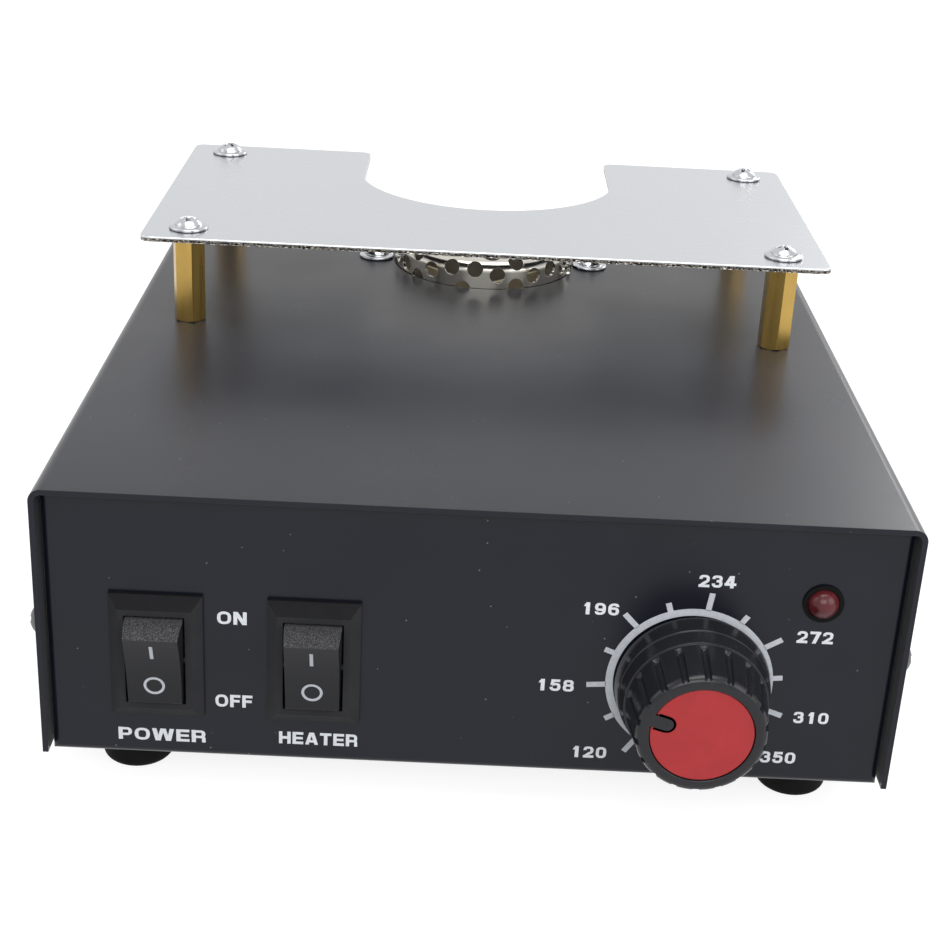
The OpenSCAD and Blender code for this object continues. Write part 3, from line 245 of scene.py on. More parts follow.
# %% Satin black paint
DUST_CELL_MM = 3.4
DUST_TONE = (0.2, 0.2, 0.21)


def satin_paint(name, low, high, rough):
    """Black paint: two close tones, orange peel of about 0.5 mm, and specks of dust."""
    paint = Finish(name, Specular_IOR_Level=0.29, Sheen_Weight=0.16, Sheen_Roughness=0.35).soften(0.15)
    tone = paint.blend(paint.span(paint.noise(18), 0.0, 1.0), low, high)
    cells = paint.node("TexVoronoi", Vector=paint.place, Scale=1 / (DUST_CELL_MM * MM))
    speck = paint.span(cells.outputs["Distance"], 1.0, 0.0, 0.022, 0.045)
    paint.colour(paint.blend(speck, tone, DUST_TONE))
    paint.gloss(rough - 0.03, rough + 0.04, 25)
    return paint.grain(paint.noise(0.55, 2.0), 0.004)


case_paint = satin_paint("satin_black_paint", (0.002, 0.003, 0.0085), (0.0045, 0.0055, 0.012), 0.3)
dress(case_paint, "cover", "chassis")
print("painted", "cover", "chassis")

# %% [markdown]
# Small shop finishes cover the metals, mouldings and inner parts. Metals get fine drawn lines or speckle in
# their gloss, mouldings a fine grain. One function for each family keeps them alike, and a table says which
# CAD node wears which.

# %% Metal and moulding families
def bare_metal(name, low, high, rough, line_mm=0.25, stretch=(1, 1, 0.06), depth_mm=0.0015):
    """Metal with drawn lines: noise stretched along one axis moves both the gloss and the height."""
    metal = Finish(name, Metallic=1.0).soften(0.08)
    lines = metal.noise(line_mm, 2.0, metal.stretched(stretch))
    metal.colour(metal.blend(metal.noise(6.0), low, high))
    metal.rough(metal.span(lines, rough - 0.05, rough + 0.07))
    return metal.grain(lines, depth_mm)


def moulding(name, low, high, rough, grain_mm=0.3, depth_mm=0.006, level=0.3):
    """Moulded plastic or rubber: close tones and a fine grain."""
    plastic = Finish(name, Specular_IOR_Level=level).soften(0.12)
    plastic.drift(low, high, 5.0).gloss(rough - 0.04, rough + 0.05, 3.0)
    return plastic.grain(plastic.noise(grain_mm, 2.0), depth_mm)


brass = bare_metal("drawn_brass", (0.41, 0.265, 0.07), (0.49, 0.33, 0.10), 0.3, 0.9, (1, 1, 0.05), 0.0003)
# The zinc has painted shade in its recesses and corners: its colour darkens by ambient occlusion.
zinc = bare_metal("bright_zinc", (0.48, 0.49, 0.515), (0.58, 0.59, 0.61), 0.16, 0.15, (1, 1, 1)).paint_crease_shade(0.9)
tin = bare_metal("tinned_metal", (0.70, 0.70, 0.70), (0.78, 0.78, 0.79), 0.3)
tube_steel = bare_metal("tube_steel", (0.50, 0.50, 0.50), (0.60, 0.60, 0.60), 0.35, 0.2, (1, 1, 0.1))
dark_steel = bare_metal("blackened_steel", (0.10, 0.10, 0.105), (0.15, 0.15, 0.155), 0.4, 0.2, (1, 1, 1))
cup_steel = bare_metal("pressed_steel", (0.54, 0.52, 0.465), (0.66, 0.64, 0.58), 0.15, 0.3, (1, 1, 0.3), 0.0008)
hot_wire = bare_metal("heating_wire", (0.34, 0.27, 0.23), (0.48, 0.40, 0.35), 0.45, 0.2, (1, 1, 1))
copper = bare_metal("copper_wire", (0.62, 0.28, 0.13), (0.75, 0.38, 0.2), 0.3, 0.2, (1, 1, 8))
aluminium = bare_metal("extruded_aluminium", (0.68, 0.69, 0.70), (0.77, 0.78, 0.79), 0.33)
core_steel = bare_metal("laminations", (0.15, 0.15, 0.16), (0.25, 0.25, 0.26), 0.4, 0.5, (0.02, 1, 0.02))
rubber = moulding("black_rubber", (0.003, 0.003, 0.0035), (0.006, 0.006, 0.0065), 0.7, 0.25, 0.01, 0.1)
switch_plastic = moulding("switch_plastic", (0.026, 0.0265, 0.029), (0.032, 0.0325, 0.035), 0.5, level=0.08)
# Painted shade: the switch frames' upward slopes are coloured darker than their upright faces.
switch_plastic.paint_slope_shade((0.008, 0.008, 0.0095))
black_plastic = moulding("black_plastic", (0.01, 0.01, 0.0105), (0.015, 0.015, 0.0155), 0.4)
mica = moulding("mica_card", (0.55, 0.46, 0.3), (0.72, 0.64, 0.46), 0.35, 1.2, 0.01)
green_resist = moulding("solder_resist", (0.008, 0.1, 0.035), (0.012, 0.15, 0.055), 0.3, 0.8, 0.004)
green_block = moulding("terminal_green", (0.03, 0.22, 0.07), (0.04, 0.27, 0.09), 0.4)
blue_sleeve = moulding("capacitor_sleeve", (0.012, 0.02, 0.09), (0.018, 0.028, 0.12), 0.25)
tape = moulding("winding_tape", (0.58, 0.36, 0.06), (0.68, 0.44, 0.09), 0.35, 0.6, 0.01)

for finish, nodes in (
    (brass, ("pillars", "board_pillars")),
    (zinc, ("foot_screws", "foot_nuts", "pillar_screws", "outlet_nuts", "fan_screws", "fan_nuts",
            "board_screws", "transformer_screws", "inlet_screws", "inlet_nuts")),
    (tin, ("temperature_sensor", "switch_terminals", "control_nut", "inlet_pins", "fuse_clips")),
    (tube_steel, ("heater_tube", "transformer_strap", "control_body", "control_shaft")),
    (cup_steel, ("outlet_cup",)),
    (hot_wire, ("heater_coil",)),
    (copper, ("fan_stator",)),
    (aluminium, ("heat_sink",)),
    (core_steel, ("transformer_core",)),
    # The lamp holder wears the near-black rubber, which also paints the shadow ring round the lamp: painted shade.
    (rubber, ("rubber_feet", "lamp_holder")),
    (switch_plastic, ("power_switch_body", "heater_switch_body")),
    (black_plastic, ("fan_frame", "fan_impeller", "triac", "mains_inlet")),
    (mica, ("heater_former",)),
    (green_resist, ("control_board",)),
    (green_block, ("terminal_block",)),
    (blue_sleeve, ("capacitors",)),
    (tape, ("transformer_winding",)),
):
    dress(finish, *nodes)
print("families", len(bpy.data.materials))

# %% [markdown]
# The fuse is a glass tube with metal caps, and the lamp a dark tinted dome. The glass lets light through; its
# caps are simply metal near its two ends, told apart by where they lie. The unlit lamp only shines on its coat.

# %% Clear pieces
FUSE_CAP_MM = 5.0


def fuse_glass():
    """Glass in the middle, metal near both ends, by distance along the fuse."""
    glass = Finish("fuse_glass", Roughness=0.1, IOR=1.45)
    low, high = box_mm("fuse")
    along = glass.node("SeparateXYZ", Vector=glass.place).outputs["Y"]
    away = glass.calculate("ABSOLUTE", glass.calculate("SUBTRACT", along, (low[1] + high[1]) / 2 * MM))
    edge = (high[1] - low[1]) / 2 * MM - FUSE_CAP_MM * MM
    metal = glass.span(away, 0.0, 1.0, edge, edge + 0.2 * MM)
    glass.colour(glass.blend(metal, (0.85, 0.9, 0.92), (0.75, 0.75, 0.76)))
    glass.feed(glass.shader.inputs["Metallic"], metal)
    glass.feed(glass.shader.inputs["Transmission Weight"], glass.span(metal, 0.9, 0.0, 0.0, 1.0))
    return glass.grain(glass.noise(2.0), 0.002)


def lamp_lens():
    """Dark red lens whose red wanders a little in depth, with a clear coat over it."""
    lens = Finish("red_lens", Roughness=0.3, Specular_IOR_Level=0.25, Coat_Weight=0.25, Coat_Roughness=0.05,
                  IOR=1.5)
    lens.drift((0.07, 0.006, 0.0095), (0.105, 0.012, 0.0155), 1.6)
    return lens.grain(lens.noise(0.9), 0.006)


dress(fuse_glass(), "fuse")
dress(lamp_lens(), "lamp")
print("clear", "fuse", "lamp")

# %% [markdown]
# New pieces are grids of points: a shape is a function of two parameters, worked out as whole numpy arrays.
# Neighbours in the grid become quads. Where a row shrinks to a point, as on the axis of a turned piece, the
# points are welded, which closes the pole.

# %% From a grid of points to a piece
def grid_faces(rows, cols, wrap):
    """Quads between neighbours of a rows by cols grid; wrap joins the last column to the first."""
    index = np.arange(rows * cols).reshape(rows, cols)
    if wrap:
        index = np.concatenate([index, index[:, :1]], axis=1)
    quads = [index[:-1, :-1], index[:-1, 1:], index[1:, 1:], index[1:, :-1]]
    return np.stack(quads, axis=-1).reshape(-1, 4)


def piece_from(name, points, faces, finish, slot, body="case", smooth=40.0):
    """Makes a piece from points in millimetres, welds its poles and turns its faces outwards."""
    mesh = bpy.data.meshes.new(name)
    mesh.from_pydata(np.asarray(points).reshape(-1, 3) * MM, [], [list(face) for face in faces])
    piece = bpy.data.objects.new(name, mesh)
    bpy.context.scene.collection.objects.link(piece)
    bpy.context.view_layer.objects.active = piece
    bpy.ops.object.select_all(action="DESELECT")
    piece.select_set(True)
    bpy.ops.object.mode_set(mode="EDIT")
    bpy.ops.mesh.select_all(action="SELECT")
    bpy.ops.mesh.remove_doubles(threshold=1e-7)
    bpy.ops.mesh.normals_make_consistent(inside=False)
    bpy.ops.object.mode_set(mode="OBJECT")
    mesh.shade_smooth()
    mesh.set_sharp_from_angle(angle=math.radians(smooth))
    mesh.materials.append(finish.material)
    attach(piece, body)
    print(name, len(mesh.polygons), "faces")
    return piece


def piece_from_grids(name, grids, finish, slot, body="case", smooth=40.0):
    """Makes one piece of several grids of the same size, each closed round its columns."""
    grids = np.asarray(grids)
    count, rows, cols = grids.shape[:3]
    faces = grid_faces(rows, cols, True)
    faces = (faces[None] + np.arange(count)[:, None, None] * rows * cols).reshape(-1, 4)
    return piece_from(name, grids, faces, finish, slot, body, smooth)


# %% [markdown]
# Turned and moulded edges are never sharp. A profile is drawn as corner points with a radius at each corner,
# and the rounding is worked out from the two edges that meet there, as a fillet in CAD is.

# %% Rounded profiles
def unit(vectors):
    """Vectors scaled to length one."""
    return vectors / np.linalg.norm(vectors, axis=1, keepdims=True)


def left_of(along):
    """Directions turned by a quarter to the left."""
    return np.stack([-along[:, 1], along[:, 0]], axis=-1)


def full_turn(columns):
    """Equal steps of angle, once round."""
    return np.linspace(0, 2 * np.pi, columns, endpoint=False)


def around(angle):
    """Points on the unit circle: the cosine and the sine of each angle."""
    return np.stack([np.cos(angle), np.sin(angle)], axis=-1)


def raised(flat, level):
    """2-D points with the same height added to each."""
    return np.concatenate([flat, np.full((len(flat), 1), level)], axis=-1)


def rounded(corners, radii, steps=5):
    """Open polyline through 2-D corners; each inner corner becomes a quadratic arc that starts and ends
    its radius away from the corner, along the two edges."""
    corners, radii = np.asarray(corners, float), np.asarray(radii, float)
    before, corner, after = corners[:-2], corners[1:-1], corners[2:]
    reach = radii[1:-1, None]
    into = corner - unit(corner - before) * reach
    out = corner + unit(after - corner) * reach
    t = np.linspace(0, 1, steps)[None, :, None]
    arcs = (1 - t) ** 2 * into[:, None] + 2 * t * (1 - t) * corner[:, None] + t**2 * out[:, None]
    return np.concatenate([corners[:1], arcs.reshape(-1, 2), corners[-1:]])


def turned(profile, columns):
    """Grid of a profile of (radius, height) carried round the z axis."""
    angle = full_turn(columns)
    r, z = profile[:, 0, None], profile[:, 1, None]
    return np.stack([r * np.cos(angle), r * np.sin(angle), z + 0 * angle], axis=-1)


def out_of_panel(points, middle):
    """Turns a local frame (x across, y up, z out of the panel) to the panel's place."""
    x, y, z = np.moveaxis(np.asarray(points), -1, 0)
    return np.stack([middle[0] + x, panel_y - z, middle[2] + y], axis=-1)


# %% [markdown]
# The control knob is the eye-catcher: a fluted grip on a stepped skirt. Its outline is turned round the axis,
# and the flutes are cut by a second function of the angle and the height: a round trough eighteen times round,
# which starts just above the skirt and cuts the rounded front edge.

# %% Fluted knob
CAP_FIT = 0.1
SKIRT_H, SKIRT_TAPER, GRIP_H, STEP_LOW_R, STEP_HIGH_R = 3.8, 0.4, 6.4, 12.0, 11.45
GRIP_R, GRIP_FACE_R, FACE_ROUND, RECESS = 11.2, 10.2, 1.4, 1.0
POCKET_R, POCKET_H, BORE_R, BORE_H = 6.8, 5.1, 3.05, 12.7
FLUTES, FLUTE_TURN, FLUTE_HALF, FLUTE_DEPTH = 18, 9.8, 0.6, 0.6
FLUTE_END, FLUTE_ABOVE_STEP, FLUTE_BELOW_FACE = 0.3, 0.5, 0.3

knob_low, knob_high = box_mm("knob")
knob_middle = middle_mm("knob")
knob_r = (knob_high[0] - knob_low[0]) / 2
knob_gap = panel_y - knob_high[1]
knob_h = knob_high[1] - knob_low[1]
cap_low, cap_high = box_mm("knob_cap")
cap_r = (cap_high[0] - cap_low[0]) / 2 + CAP_FIT
flute_low, flute_high = GRIP_H + FLUTE_ABOVE_STEP, knob_h - FLUTE_BELOW_FACE

knob_outline = rounded(
    [(0, knob_h - RECESS), (cap_r, knob_h - RECESS), (cap_r, knob_h), (GRIP_FACE_R, knob_h),
     (GRIP_R, GRIP_H), (STEP_HIGH_R, GRIP_H), (STEP_LOW_R, SKIRT_H),
     (knob_r - SKIRT_TAPER, SKIRT_H), (knob_r, 0),
     (POCKET_R, 0), (POCKET_R, POCKET_H), (BORE_R, POCKET_H), (BORE_R, BORE_H), (0, BORE_H)],
    [0, 0.1, 0.25, FACE_ROUND, 0.12, 0.12, 0.05, 0.5, 0.4, 0.2, 0.3, 0.2, 0.2, 0], 7)


def split_long(line, step):
    """Adds points to a 2-D polyline, so that no stretch is longer than step."""
    pieces = np.maximum(1, np.ceil(np.linalg.norm(np.diff(line, axis=0), axis=1) / step)).astype(int)
    at = np.concatenate([[0.0], np.cumsum(np.repeat(1 / pieces, pieces))])
    known = np.arange(len(line))
    return np.stack([np.interp(at, known, line[:, axis]) for axis in (0, 1)], axis=-1)


def fluted_knob(columns=FLUTES * 24):
    """Turned outline less flutes: a flute is a round trough across its width, whose depth falls away in a
    quarter round at both ends. It cuts the rounded front edge into scallops. The recess stays round."""
    profile = split_long(knob_outline, 0.25)
    grid = turned(profile, columns)
    r, z = profile[:, 0, None], profile[:, 1, None]
    angle = full_turn(columns)[None] - math.radians(FLUTE_TURN)
    pitch = 2 * np.pi / FLUTES
    across = ((angle + pitch / 2) % pitch - pitch / 2) * GRIP_R
    trough = np.sqrt(np.clip(1 - (across / FLUTE_HALF) ** 2, 0, 1))
    inside = np.clip(np.minimum(z - flute_low, flute_high - z) / FLUTE_END, 0, 1)
    cut = FLUTE_DEPTH * trough * np.sqrt(1 - (1 - inside) ** 2) * (r > cap_r)
    scale = np.where(r > 0, 1 - cut / np.maximum(r, 0.1), 1)
    return np.concatenate([grid[..., :2] * scale[..., None], grid[..., 2:]], axis=-1)


def knob_plastic():
    """Polished black plastic with handling haze in its gloss and a few pale scuffs."""
    plastic = Finish("polished_black", Specular_IOR_Level=0.31)
    scuff = plastic.span(plastic.noise(0.5, 4.0), 0.0, 1.0, 0.68, 0.76)
    plastic.colour(plastic.blend(scuff, (0.0118, 0.0122, 0.0153), (0.034, 0.035, 0.038)))
    plastic.gloss(0.18, 0.27, 4.0)
    return plastic.grain(plastic.noise(0.5, 2.0), 0.004)


knob_black = knob_plastic()
lift = np.array([0, 0, knob_gap])
knob = piece_from_grids("fluted_knob", [out_of_panel(fluted_knob() + lift, knob_middle)],
                        knob_black, "knob_plastic", "knob", 35)
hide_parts("knob")

# %% [markdown]
# The cap is a red disc with a slot for the pointer. Its outline is an arc and a slot joined, evened out to
# equal steps and smoothed, which rounds the corners. The lip is a quarter round carried along that outline,
# moved inwards along the outline's own normals. The pointer fills the slot and ends inside the knob's rim.

# %% Red cap and pointer
POINTER_TURN = math.radians(163)
POINTER_W, POINTER_IN, POINTER_BURIED, SLOT_GAP = 2.1, 5.8, 0.6, 0.03
LIP, POINTER_LIP, CAP_SUNK, POINTER_SUNK = 0.2, 0.14, 0.2, 0.04


def even(outline, count, smooth=0):
    """Closed outline resampled to equal steps, then averaged over neighbours to round its corners."""
    loop = np.concatenate([outline, outline[:1]])
    run = np.concatenate([[0], np.cumsum(np.linalg.norm(np.diff(loop, axis=0), axis=1))])
    at = np.linspace(0, run[-1], count, endpoint=False)
    ring = np.stack([np.interp(at, run, loop[:, axis]) for axis in (0, 1)], axis=-1)
    shifts = range(-smooth, smooth + 1)
    return sum(np.roll(ring, shift, axis=0) for shift in shifts) / len(shifts)


def inward(ring):
    """Unit normals that point to the left of a counter-clockwise outline, into it."""
    return left_of(unit(np.roll(ring, -1, axis=0) - np.roll(ring, 1, axis=0)))


def lipped_plate(ring, profile):
    """Rows of an outline moved inwards and up by each (inset, height) of a profile."""
    inset, height = profile[:, 0, None, None], profile[:, 1, None]
    flat = ring[None] + inset * inward(ring)[None]
    return np.concatenate([flat, (height + np.zeros((1, len(ring))))[..., None]], axis=-1)


def closed_plate(name, ring, profile, place, finish, slot, body):
    """A piece from a lipped outline, closed by one flat face at each end of the profile."""
    rows = lipped_plate(ring, profile)
    count, cols = rows.shape[:2]
    faces = grid_faces(count, cols, True).tolist()
    faces += [np.arange(cols)[::-1].tolist(), (np.arange(cols) + (count - 1) * cols).tolist()]
    return piece_from(name, place(rows), faces, finish, slot, body)


def turned_by(points, angle):
    """2-D points turned about the origin."""
    c, s = math.cos(angle), math.sin(angle)
    return points @ np.array([[c, s], [-s, c]])


def slotted_disc(radius):
    """Disc with a slot from its right edge to POINTER_IN, round at its inner end."""
    half = POINTER_W / 2 + SLOT_GAP
    mouth = math.asin(half / radius)
    arc = np.linspace(mouth, 2 * np.pi - mouth, 160)
    end = np.linspace(-np.pi / 2, -3 * np.pi / 2, 24)
    return np.concatenate([radius * around(arc), half * around(end) + [POINTER_IN, 0]])


def pointer_bar():
    """Bar from its round inner end to well inside the rim, which hides its outer end."""
    half = POINTER_W / 2
    end = np.linspace(np.pi / 2, 3 * np.pi / 2, 24)
    outer = cap_r + POINTER_BURIED
    return np.concatenate([half * around(end) + [POINTER_IN, 0], [(outer, -half), (outer, half)]])


def red_plastic():
    """Satin red moulding with a soft glow under its surface."""
    red = Finish("red_cap", Specular_IOR_Level=0.3, Subsurface_Weight=0.12, Subsurface_Scale=0.0006)
    red.drift((0.395, 0.03, 0.034), (0.455, 0.036, 0.04), 4.0).gloss(0.36, 0.46, 2.0)
    return red.grain(red.noise(0.4, 2.0), 0.004)


cap_t = RECESS - CAP_SUNK
cap_profile = rounded([(0, 0), (0, cap_t), (2 * LIP, cap_t)], [0, LIP, 0], 7)
bar_t = RECESS - POINTER_SUNK
bar_profile = rounded([(0, 0), (0, bar_t), (0.4, bar_t)], [0, POINTER_LIP, 0], 6)


def on_knob_face(rows):
    """Local frame of the knob's recess to the panel's place."""
    return out_of_panel(rows + [0, 0, knob_gap + knob_h - RECESS], knob_middle)


cap_ring = turned_by(even(slotted_disc(cap_r - CAP_FIT), 420, 3), POINTER_TURN)
cap = closed_plate("red_cap", cap_ring, cap_profile, on_knob_face, red_plastic(), "cap_red", "knob")
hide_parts("knob_cap")
bar_ring = turned_by(even(pointer_bar(), 120, 1), POINTER_TURN)
closed_plate("pointer", bar_ring, bar_profile, on_knob_face, knob_black, "knob_plastic", "knob")

# %% [markdown]
# The scale, numbers and switch words are pad-printed: a thin film of pale ink on the paint. The ring and the
# ticks are grids in polar coordinates. The film of a real pad print is a few hundredths of a millimetre thick.
# It was laid on before the knob went in, so its centre lies a little beside the knob's axis.

# %% Ink
INK_MM = 0.04
INK_OFF = 0.01


def pale_ink(name, low, high):
    """Pale ink, thinner here and there, with a dry surface."""
    made = Finish(name, Specular_IOR_Level=0.2)
    made.drift(low, high, 0.8).gloss(0.5, 0.65, 1.5)
    return made.grain(made.noise(0.25, 2.0), 0.004)


ink = pale_ink("pale_ink", (0.74, 0.77, 0.82), (0.83, 0.86, 0.91))
thin_ink = pale_ink("thin_ink", (0.51, 0.535, 0.58), (0.59, 0.615, 0.66))


def film(name, flat, faces, place, finish, body="case", slot="painted_case"):
    """A film of ink from 2-D points: a sheet at the surface, given its thickness by Solidify."""
    piece = piece_from(name, place(raised(flat, INK_OFF)), faces, finish, slot, body)
    piece.data.shade_flat()
    solid = piece.modifiers.new("film", "SOLIDIFY")
    solid.thickness = INK_MM * MM
    solid.offset = 1.0
    return piece


# %% Dial scale
PRINT_ASIDE = -0.4
dial_middle = axis_at["temperature_dial"] + [PRINT_ASIDE, 0, 0]
RING_IN, RING_OUT, TICK_LONG, TICK_SHORT, TICK_W = 12.25, 13.47, 16.5, 15.0, 0.92
TICK_FIRST, TICK_STEP, TICKS = 235.0, -25.42, 13


def on_dial(points):
    """Local dial frame to the panel."""
    return out_of_panel(points, dial_middle)


def scale_ring(columns=140):
    """Ring between two radii, from the first tick to the last."""
    angle = np.radians(np.linspace(TICK_FIRST, TICK_FIRST + TICK_STEP * (TICKS - 1), columns))
    flat = np.array([RING_IN, RING_OUT])[:, None, None] * around(angle)
    return flat.reshape(-1, 2), grid_faces(2, columns, False)


def scale_ticks():
    """Bars along each tick's own direction, long on numbers and short between them."""
    order = np.arange(TICKS)
    along = around(np.radians(TICK_FIRST + TICK_STEP * order))
    across = left_of(along) * TICK_W / 2
    start = along * (RING_OUT - 0.1)
    end = along * np.where(order % 2 == 0, TICK_LONG, TICK_SHORT)[:, None]
    corners = np.stack([start - across, end - across, end + across, start + across], axis=1)
    return corners.reshape(-1, 2), np.arange(4 * TICKS).reshape(-1, 4)


film("scale_ring", *scale_ring(), on_dial, thin_ink)
film("scale_ticks", *scale_ticks(), on_dial, thin_ink)

# %% [markdown]
# The words have the heavy, wide letters of instrument panels, which Blender's own font lacks. A letter is a few
# strokes: straight bars with level ends, and bows drawn by an oval pen that makes upright strokes wider than
# level ones. Strokes overlap, so one triangulation of all their edges joins them, and a triangle is inked where
# its middle lies in a stroke.

# %% Letters of strokes
PEN = np.array([0.245, 0.19])
LETTER_GAP = 0.15
STEM = (0.14, 0, 0.14, 1, 0.28)


def oval(middle, half, low, high, reach):
    """Closed bow that starts and ends in the middle of its top."""
    left, right = middle - half, middle + half
    return [(middle, high, 0), (left, high, reach), (left, low, reach), (right, low, reach), (right, high, reach),
            (middle, high, 0)]


# A letter is its width, its bars (see bar_stroke) and its bows (corners with a radius).
GLYPHS = {
    "0": (0.84, [], [oval(0.42, 0.285, 0.105, 0.895, 0.28)]),
    "1": (0.84, [(0.48, 0, 0.48, 1, 0.29), (0.3, 0.68, 0.4, 0.9, 0.26)], []),
    "2": (0.84, [(0.42, 0, 0.42, 0.21, 0.84), (0.2, 0.16, 0.62, 0.5, 0.36)],
          [[(0.135, 0.66, 0), (0.135, 0.895, 0.2), (0.7, 0.895, 0.24), (0.7, 0.5, 0.2), (0.56, 0.42, 0)]]),
    "3": (0.84, [], [[(0.135, 0.7, 0), (0.135, 0.895, 0.18), (0.68, 0.895, 0.18), (0.68, 0.53, 0.16),
                      (0.36, 0.53, 0)],
                     [(0.36, 0.53, 0), (0.705, 0.53, 0.18), (0.705, 0.105, 0.22), (0.135, 0.105, 0.22),
                      (0.135, 0.32, 0)]]),
    "4": (0.9, [(0.58, 0, 0.58, 1, 0.28), (0.45, 0.2, 0.45, 0.4, 0.9), (0.17, 0.36, 0.5, 1, 0.28)], []),
    "5": (0.84, [(0.45, 0.79, 0.45, 1, 0.66), (0.2, 0.5, 0.24, 0.85, 0.26)],
          [[(0.2, 0.53, 0), (0.4, 0.6, 0.1), (0.705, 0.6, 0.2), (0.705, 0.105, 0.24), (0.135, 0.105, 0.24),
            (0.135, 0.3, 0)]]),
    "6": (0.84, [], [[(0.69, 0.72, 0), (0.69, 0.895, 0.16), (0.135, 0.895, 0.3), (0.135, 0.105, 0.3),
                      (0.705, 0.105, 0.24), (0.705, 0.57, 0.2), (0.2, 0.57, 0)]]),
    "7": (0.84, [(0.42, 0.79, 0.42, 1, 0.84), (0.36, 0, 0.66, 0.85, 0.3)], []),
    "8": (0.84, [], [oval(0.42, 0.255, 0.52, 0.895, 0.17), oval(0.42, 0.285, 0.105, 0.52, 0.19)]),
    "O": (1.04, [], [oval(0.52, 0.385, 0.105, 0.895, 0.36)]),
    "N": (0.96, [STEM, (0.82, 0, 0.82, 1, 0.28), (0.8, 0, 0.16, 1, 0.32)], []),
    "F": (0.82, [STEM, (0.41, 0.79, 0.41, 1, 0.82), (0.38, 0.4, 0.38, 0.6, 0.76)], []),
    "E": (0.88, [STEM, (0.44, 0.79, 0.44, 1, 0.88), (0.42, 0.405, 0.42, 0.595, 0.84), (0.44, 0, 0.44, 0.21, 0.88)], []),
    "P": (0.92, [STEM],
          [[(0.14, 0.895, 0), (0.785, 0.895, 0.24), (0.785, 0.42, 0.24), (0.14, 0.42, 0)]]),
    "R": (0.96, [STEM],
          [[(0.14, 0.895, 0), (0.8, 0.895, 0.22), (0.8, 0.44, 0.2), (0.14, 0.44, 0)],
           [(0.5, 0.44, 0), (0.81, 0.44, 0.16), (0.81, 0, 0)]]),
    "W": (1.46, [(0.36, 0, 0.14, 1, 0.3), (0.42, 0, 0.68, 1, 0.26), (1.04, 0, 0.78, 1, 0.26),
                 (1.1, 0, 1.32, 1, 0.3)], []),
    "H": (0.96, [STEM, (0.82, 0, 0.82, 1, 0.28), (0.48, 0.4, 0.48, 0.61, 0.7)], []),
    "A": (1.06, [(0.145, 0, 0.48, 1, 0.29), (0.915, 0, 0.58, 1, 0.29), (0.53, 0.18, 0.53, 0.37, 0.56)], []),
    "T": (0.94, [(0.47, 0, 0.47, 1, 0.29), (0.47, 0.79, 0.47, 1, 0.94)], []),
}
digit_w, _, six_bows = GLYPHS["6"]
GLYPHS["9"] = (digit_w, [], [[(digit_w - x, 1 - y, reach) for x, y, reach in bow] for bow in six_bows])


def bar_stroke(low_x, low_y, high_x, high_y, wide):
    """Bar with level ends: its middle runs from the low point to the high one, wide is its level width."""
    half = wide / 2
    corners = [(low_x - half, low_y), (low_x + half, low_y), (high_x + half, high_y), (high_x - half, high_y)]
    return np.array(corners), np.arange(4)[None]


def bow_stroke(bow):
    """Band along a rounded path: each side lies off the path by its normal, stretched to the pen's oval."""
    bow = np.array(bow)
    path = rounded(bow[:, :2], bow[:, 2], 9)
    path = path[np.append(True, np.linalg.norm(np.diff(path, axis=0), axis=1) > 1e-6)]
    side = left_of(unit(np.gradient(path, axis=0))) * PEN / 2
    return np.concatenate([path - side, path + side]), grid_faces(2, len(path), False)


def triangulated(flat, edges, faces, slack):
    """Points and triangles of a Delaunay triangulation that keeps the given edges and faces."""
    verts, _, triangles = delaunay_2d_cdt([Vector(point) for point in flat], edges, faces, 1, slack)[:3]
    return np.array([tuple(vert) for vert in verts]), np.array(triangles)


def joined(strokes):
    """Triangles that lie in any of the strokes: a middle is inside a quad where it is left of all four edges."""
    starts = np.cumsum([0] + [len(points) for points, _ in strokes])
    flat = np.concatenate([points for points, _ in strokes])
    faces = np.concatenate([quads + start for (_, quads), start in zip(strokes, starts)])
    verts, triangles = triangulated(flat, [], faces.tolist(), 1e-5)
    corner = flat[faces]
    edge = np.roll(corner, -1, axis=1) - corner
    away = verts[triangles].mean(axis=1)[:, None, None] - corner
    left = edge[..., 0] * away[..., 1] - edge[..., 1] * away[..., 0]
    return verts, triangles[(left > 0).all(axis=-1).any(axis=-1)]


def letters(words, height, width):
    """Flat mesh of a word, scaled to a height and a width about its own middle."""
    strokes, pen_x = [], 0.0
    for letter in words:
        wide, bars, bows = GLYPHS[letter]
        made = [bar_stroke(*bar) for bar in bars] + [bow_stroke(bow) for bow in bows]
        strokes += [(points + [pen_x, 0], quads) for points, quads in made]
        pen_x += wide + LETTER_GAP
    flat, faces = joined(strokes)
    low, high = flat.min(axis=0), flat.max(axis=0)
    return (flat - (low + high) / 2) / (high - low) * [width, height], faces


# %% Printed words
NUMBER_H, WORD_H = 2.15, 2.3


def print_word(name, words, x, drop, height, width):
    """Prints a word on the panel, its middle at x and a distance below the cover's top."""
    middle = np.array([x, 0, cover_top - drop])
    film(name, *letters(words, height, width), lambda points: out_of_panel(points, middle), ink)


for words, x, drop, width in (
    ("120", 20.1, 43.9, 5.5), ("158", 13.8, 31.5, 5.7), ("196", 20.0, 17.2, 5.6), ("234", 37.8, 11.4, 5.9),
    ("272", 54.3, 20.6, 5.8), ("310", 55.5, 35.5, 5.7), ("350", 51.0, 43.3, 5.8),
):
    print_word("number_" + words, words, x, drop, NUMBER_H, width)
for words, x, drop, width in (
    ("ON", -38.3, 21.9, 4.7), ("OFF", -38.1, 37.2, 6.0), ("POWER", -49.9, 44.2, 14.2),
    ("HEATER", -24.4, 43.7, 12.8),
):
    print_word("word_" + words.lower(), words, x, drop, WORD_H, width)

# %% [markdown]
# A rocker's marks sit on its face, which is dished and leans with the switch. The face is part of a cylinder,
# so a flat mark is bent onto it by that circle's own formula, and then turned with the rocker. The marks ride
# on the rocker's body and tip with it.

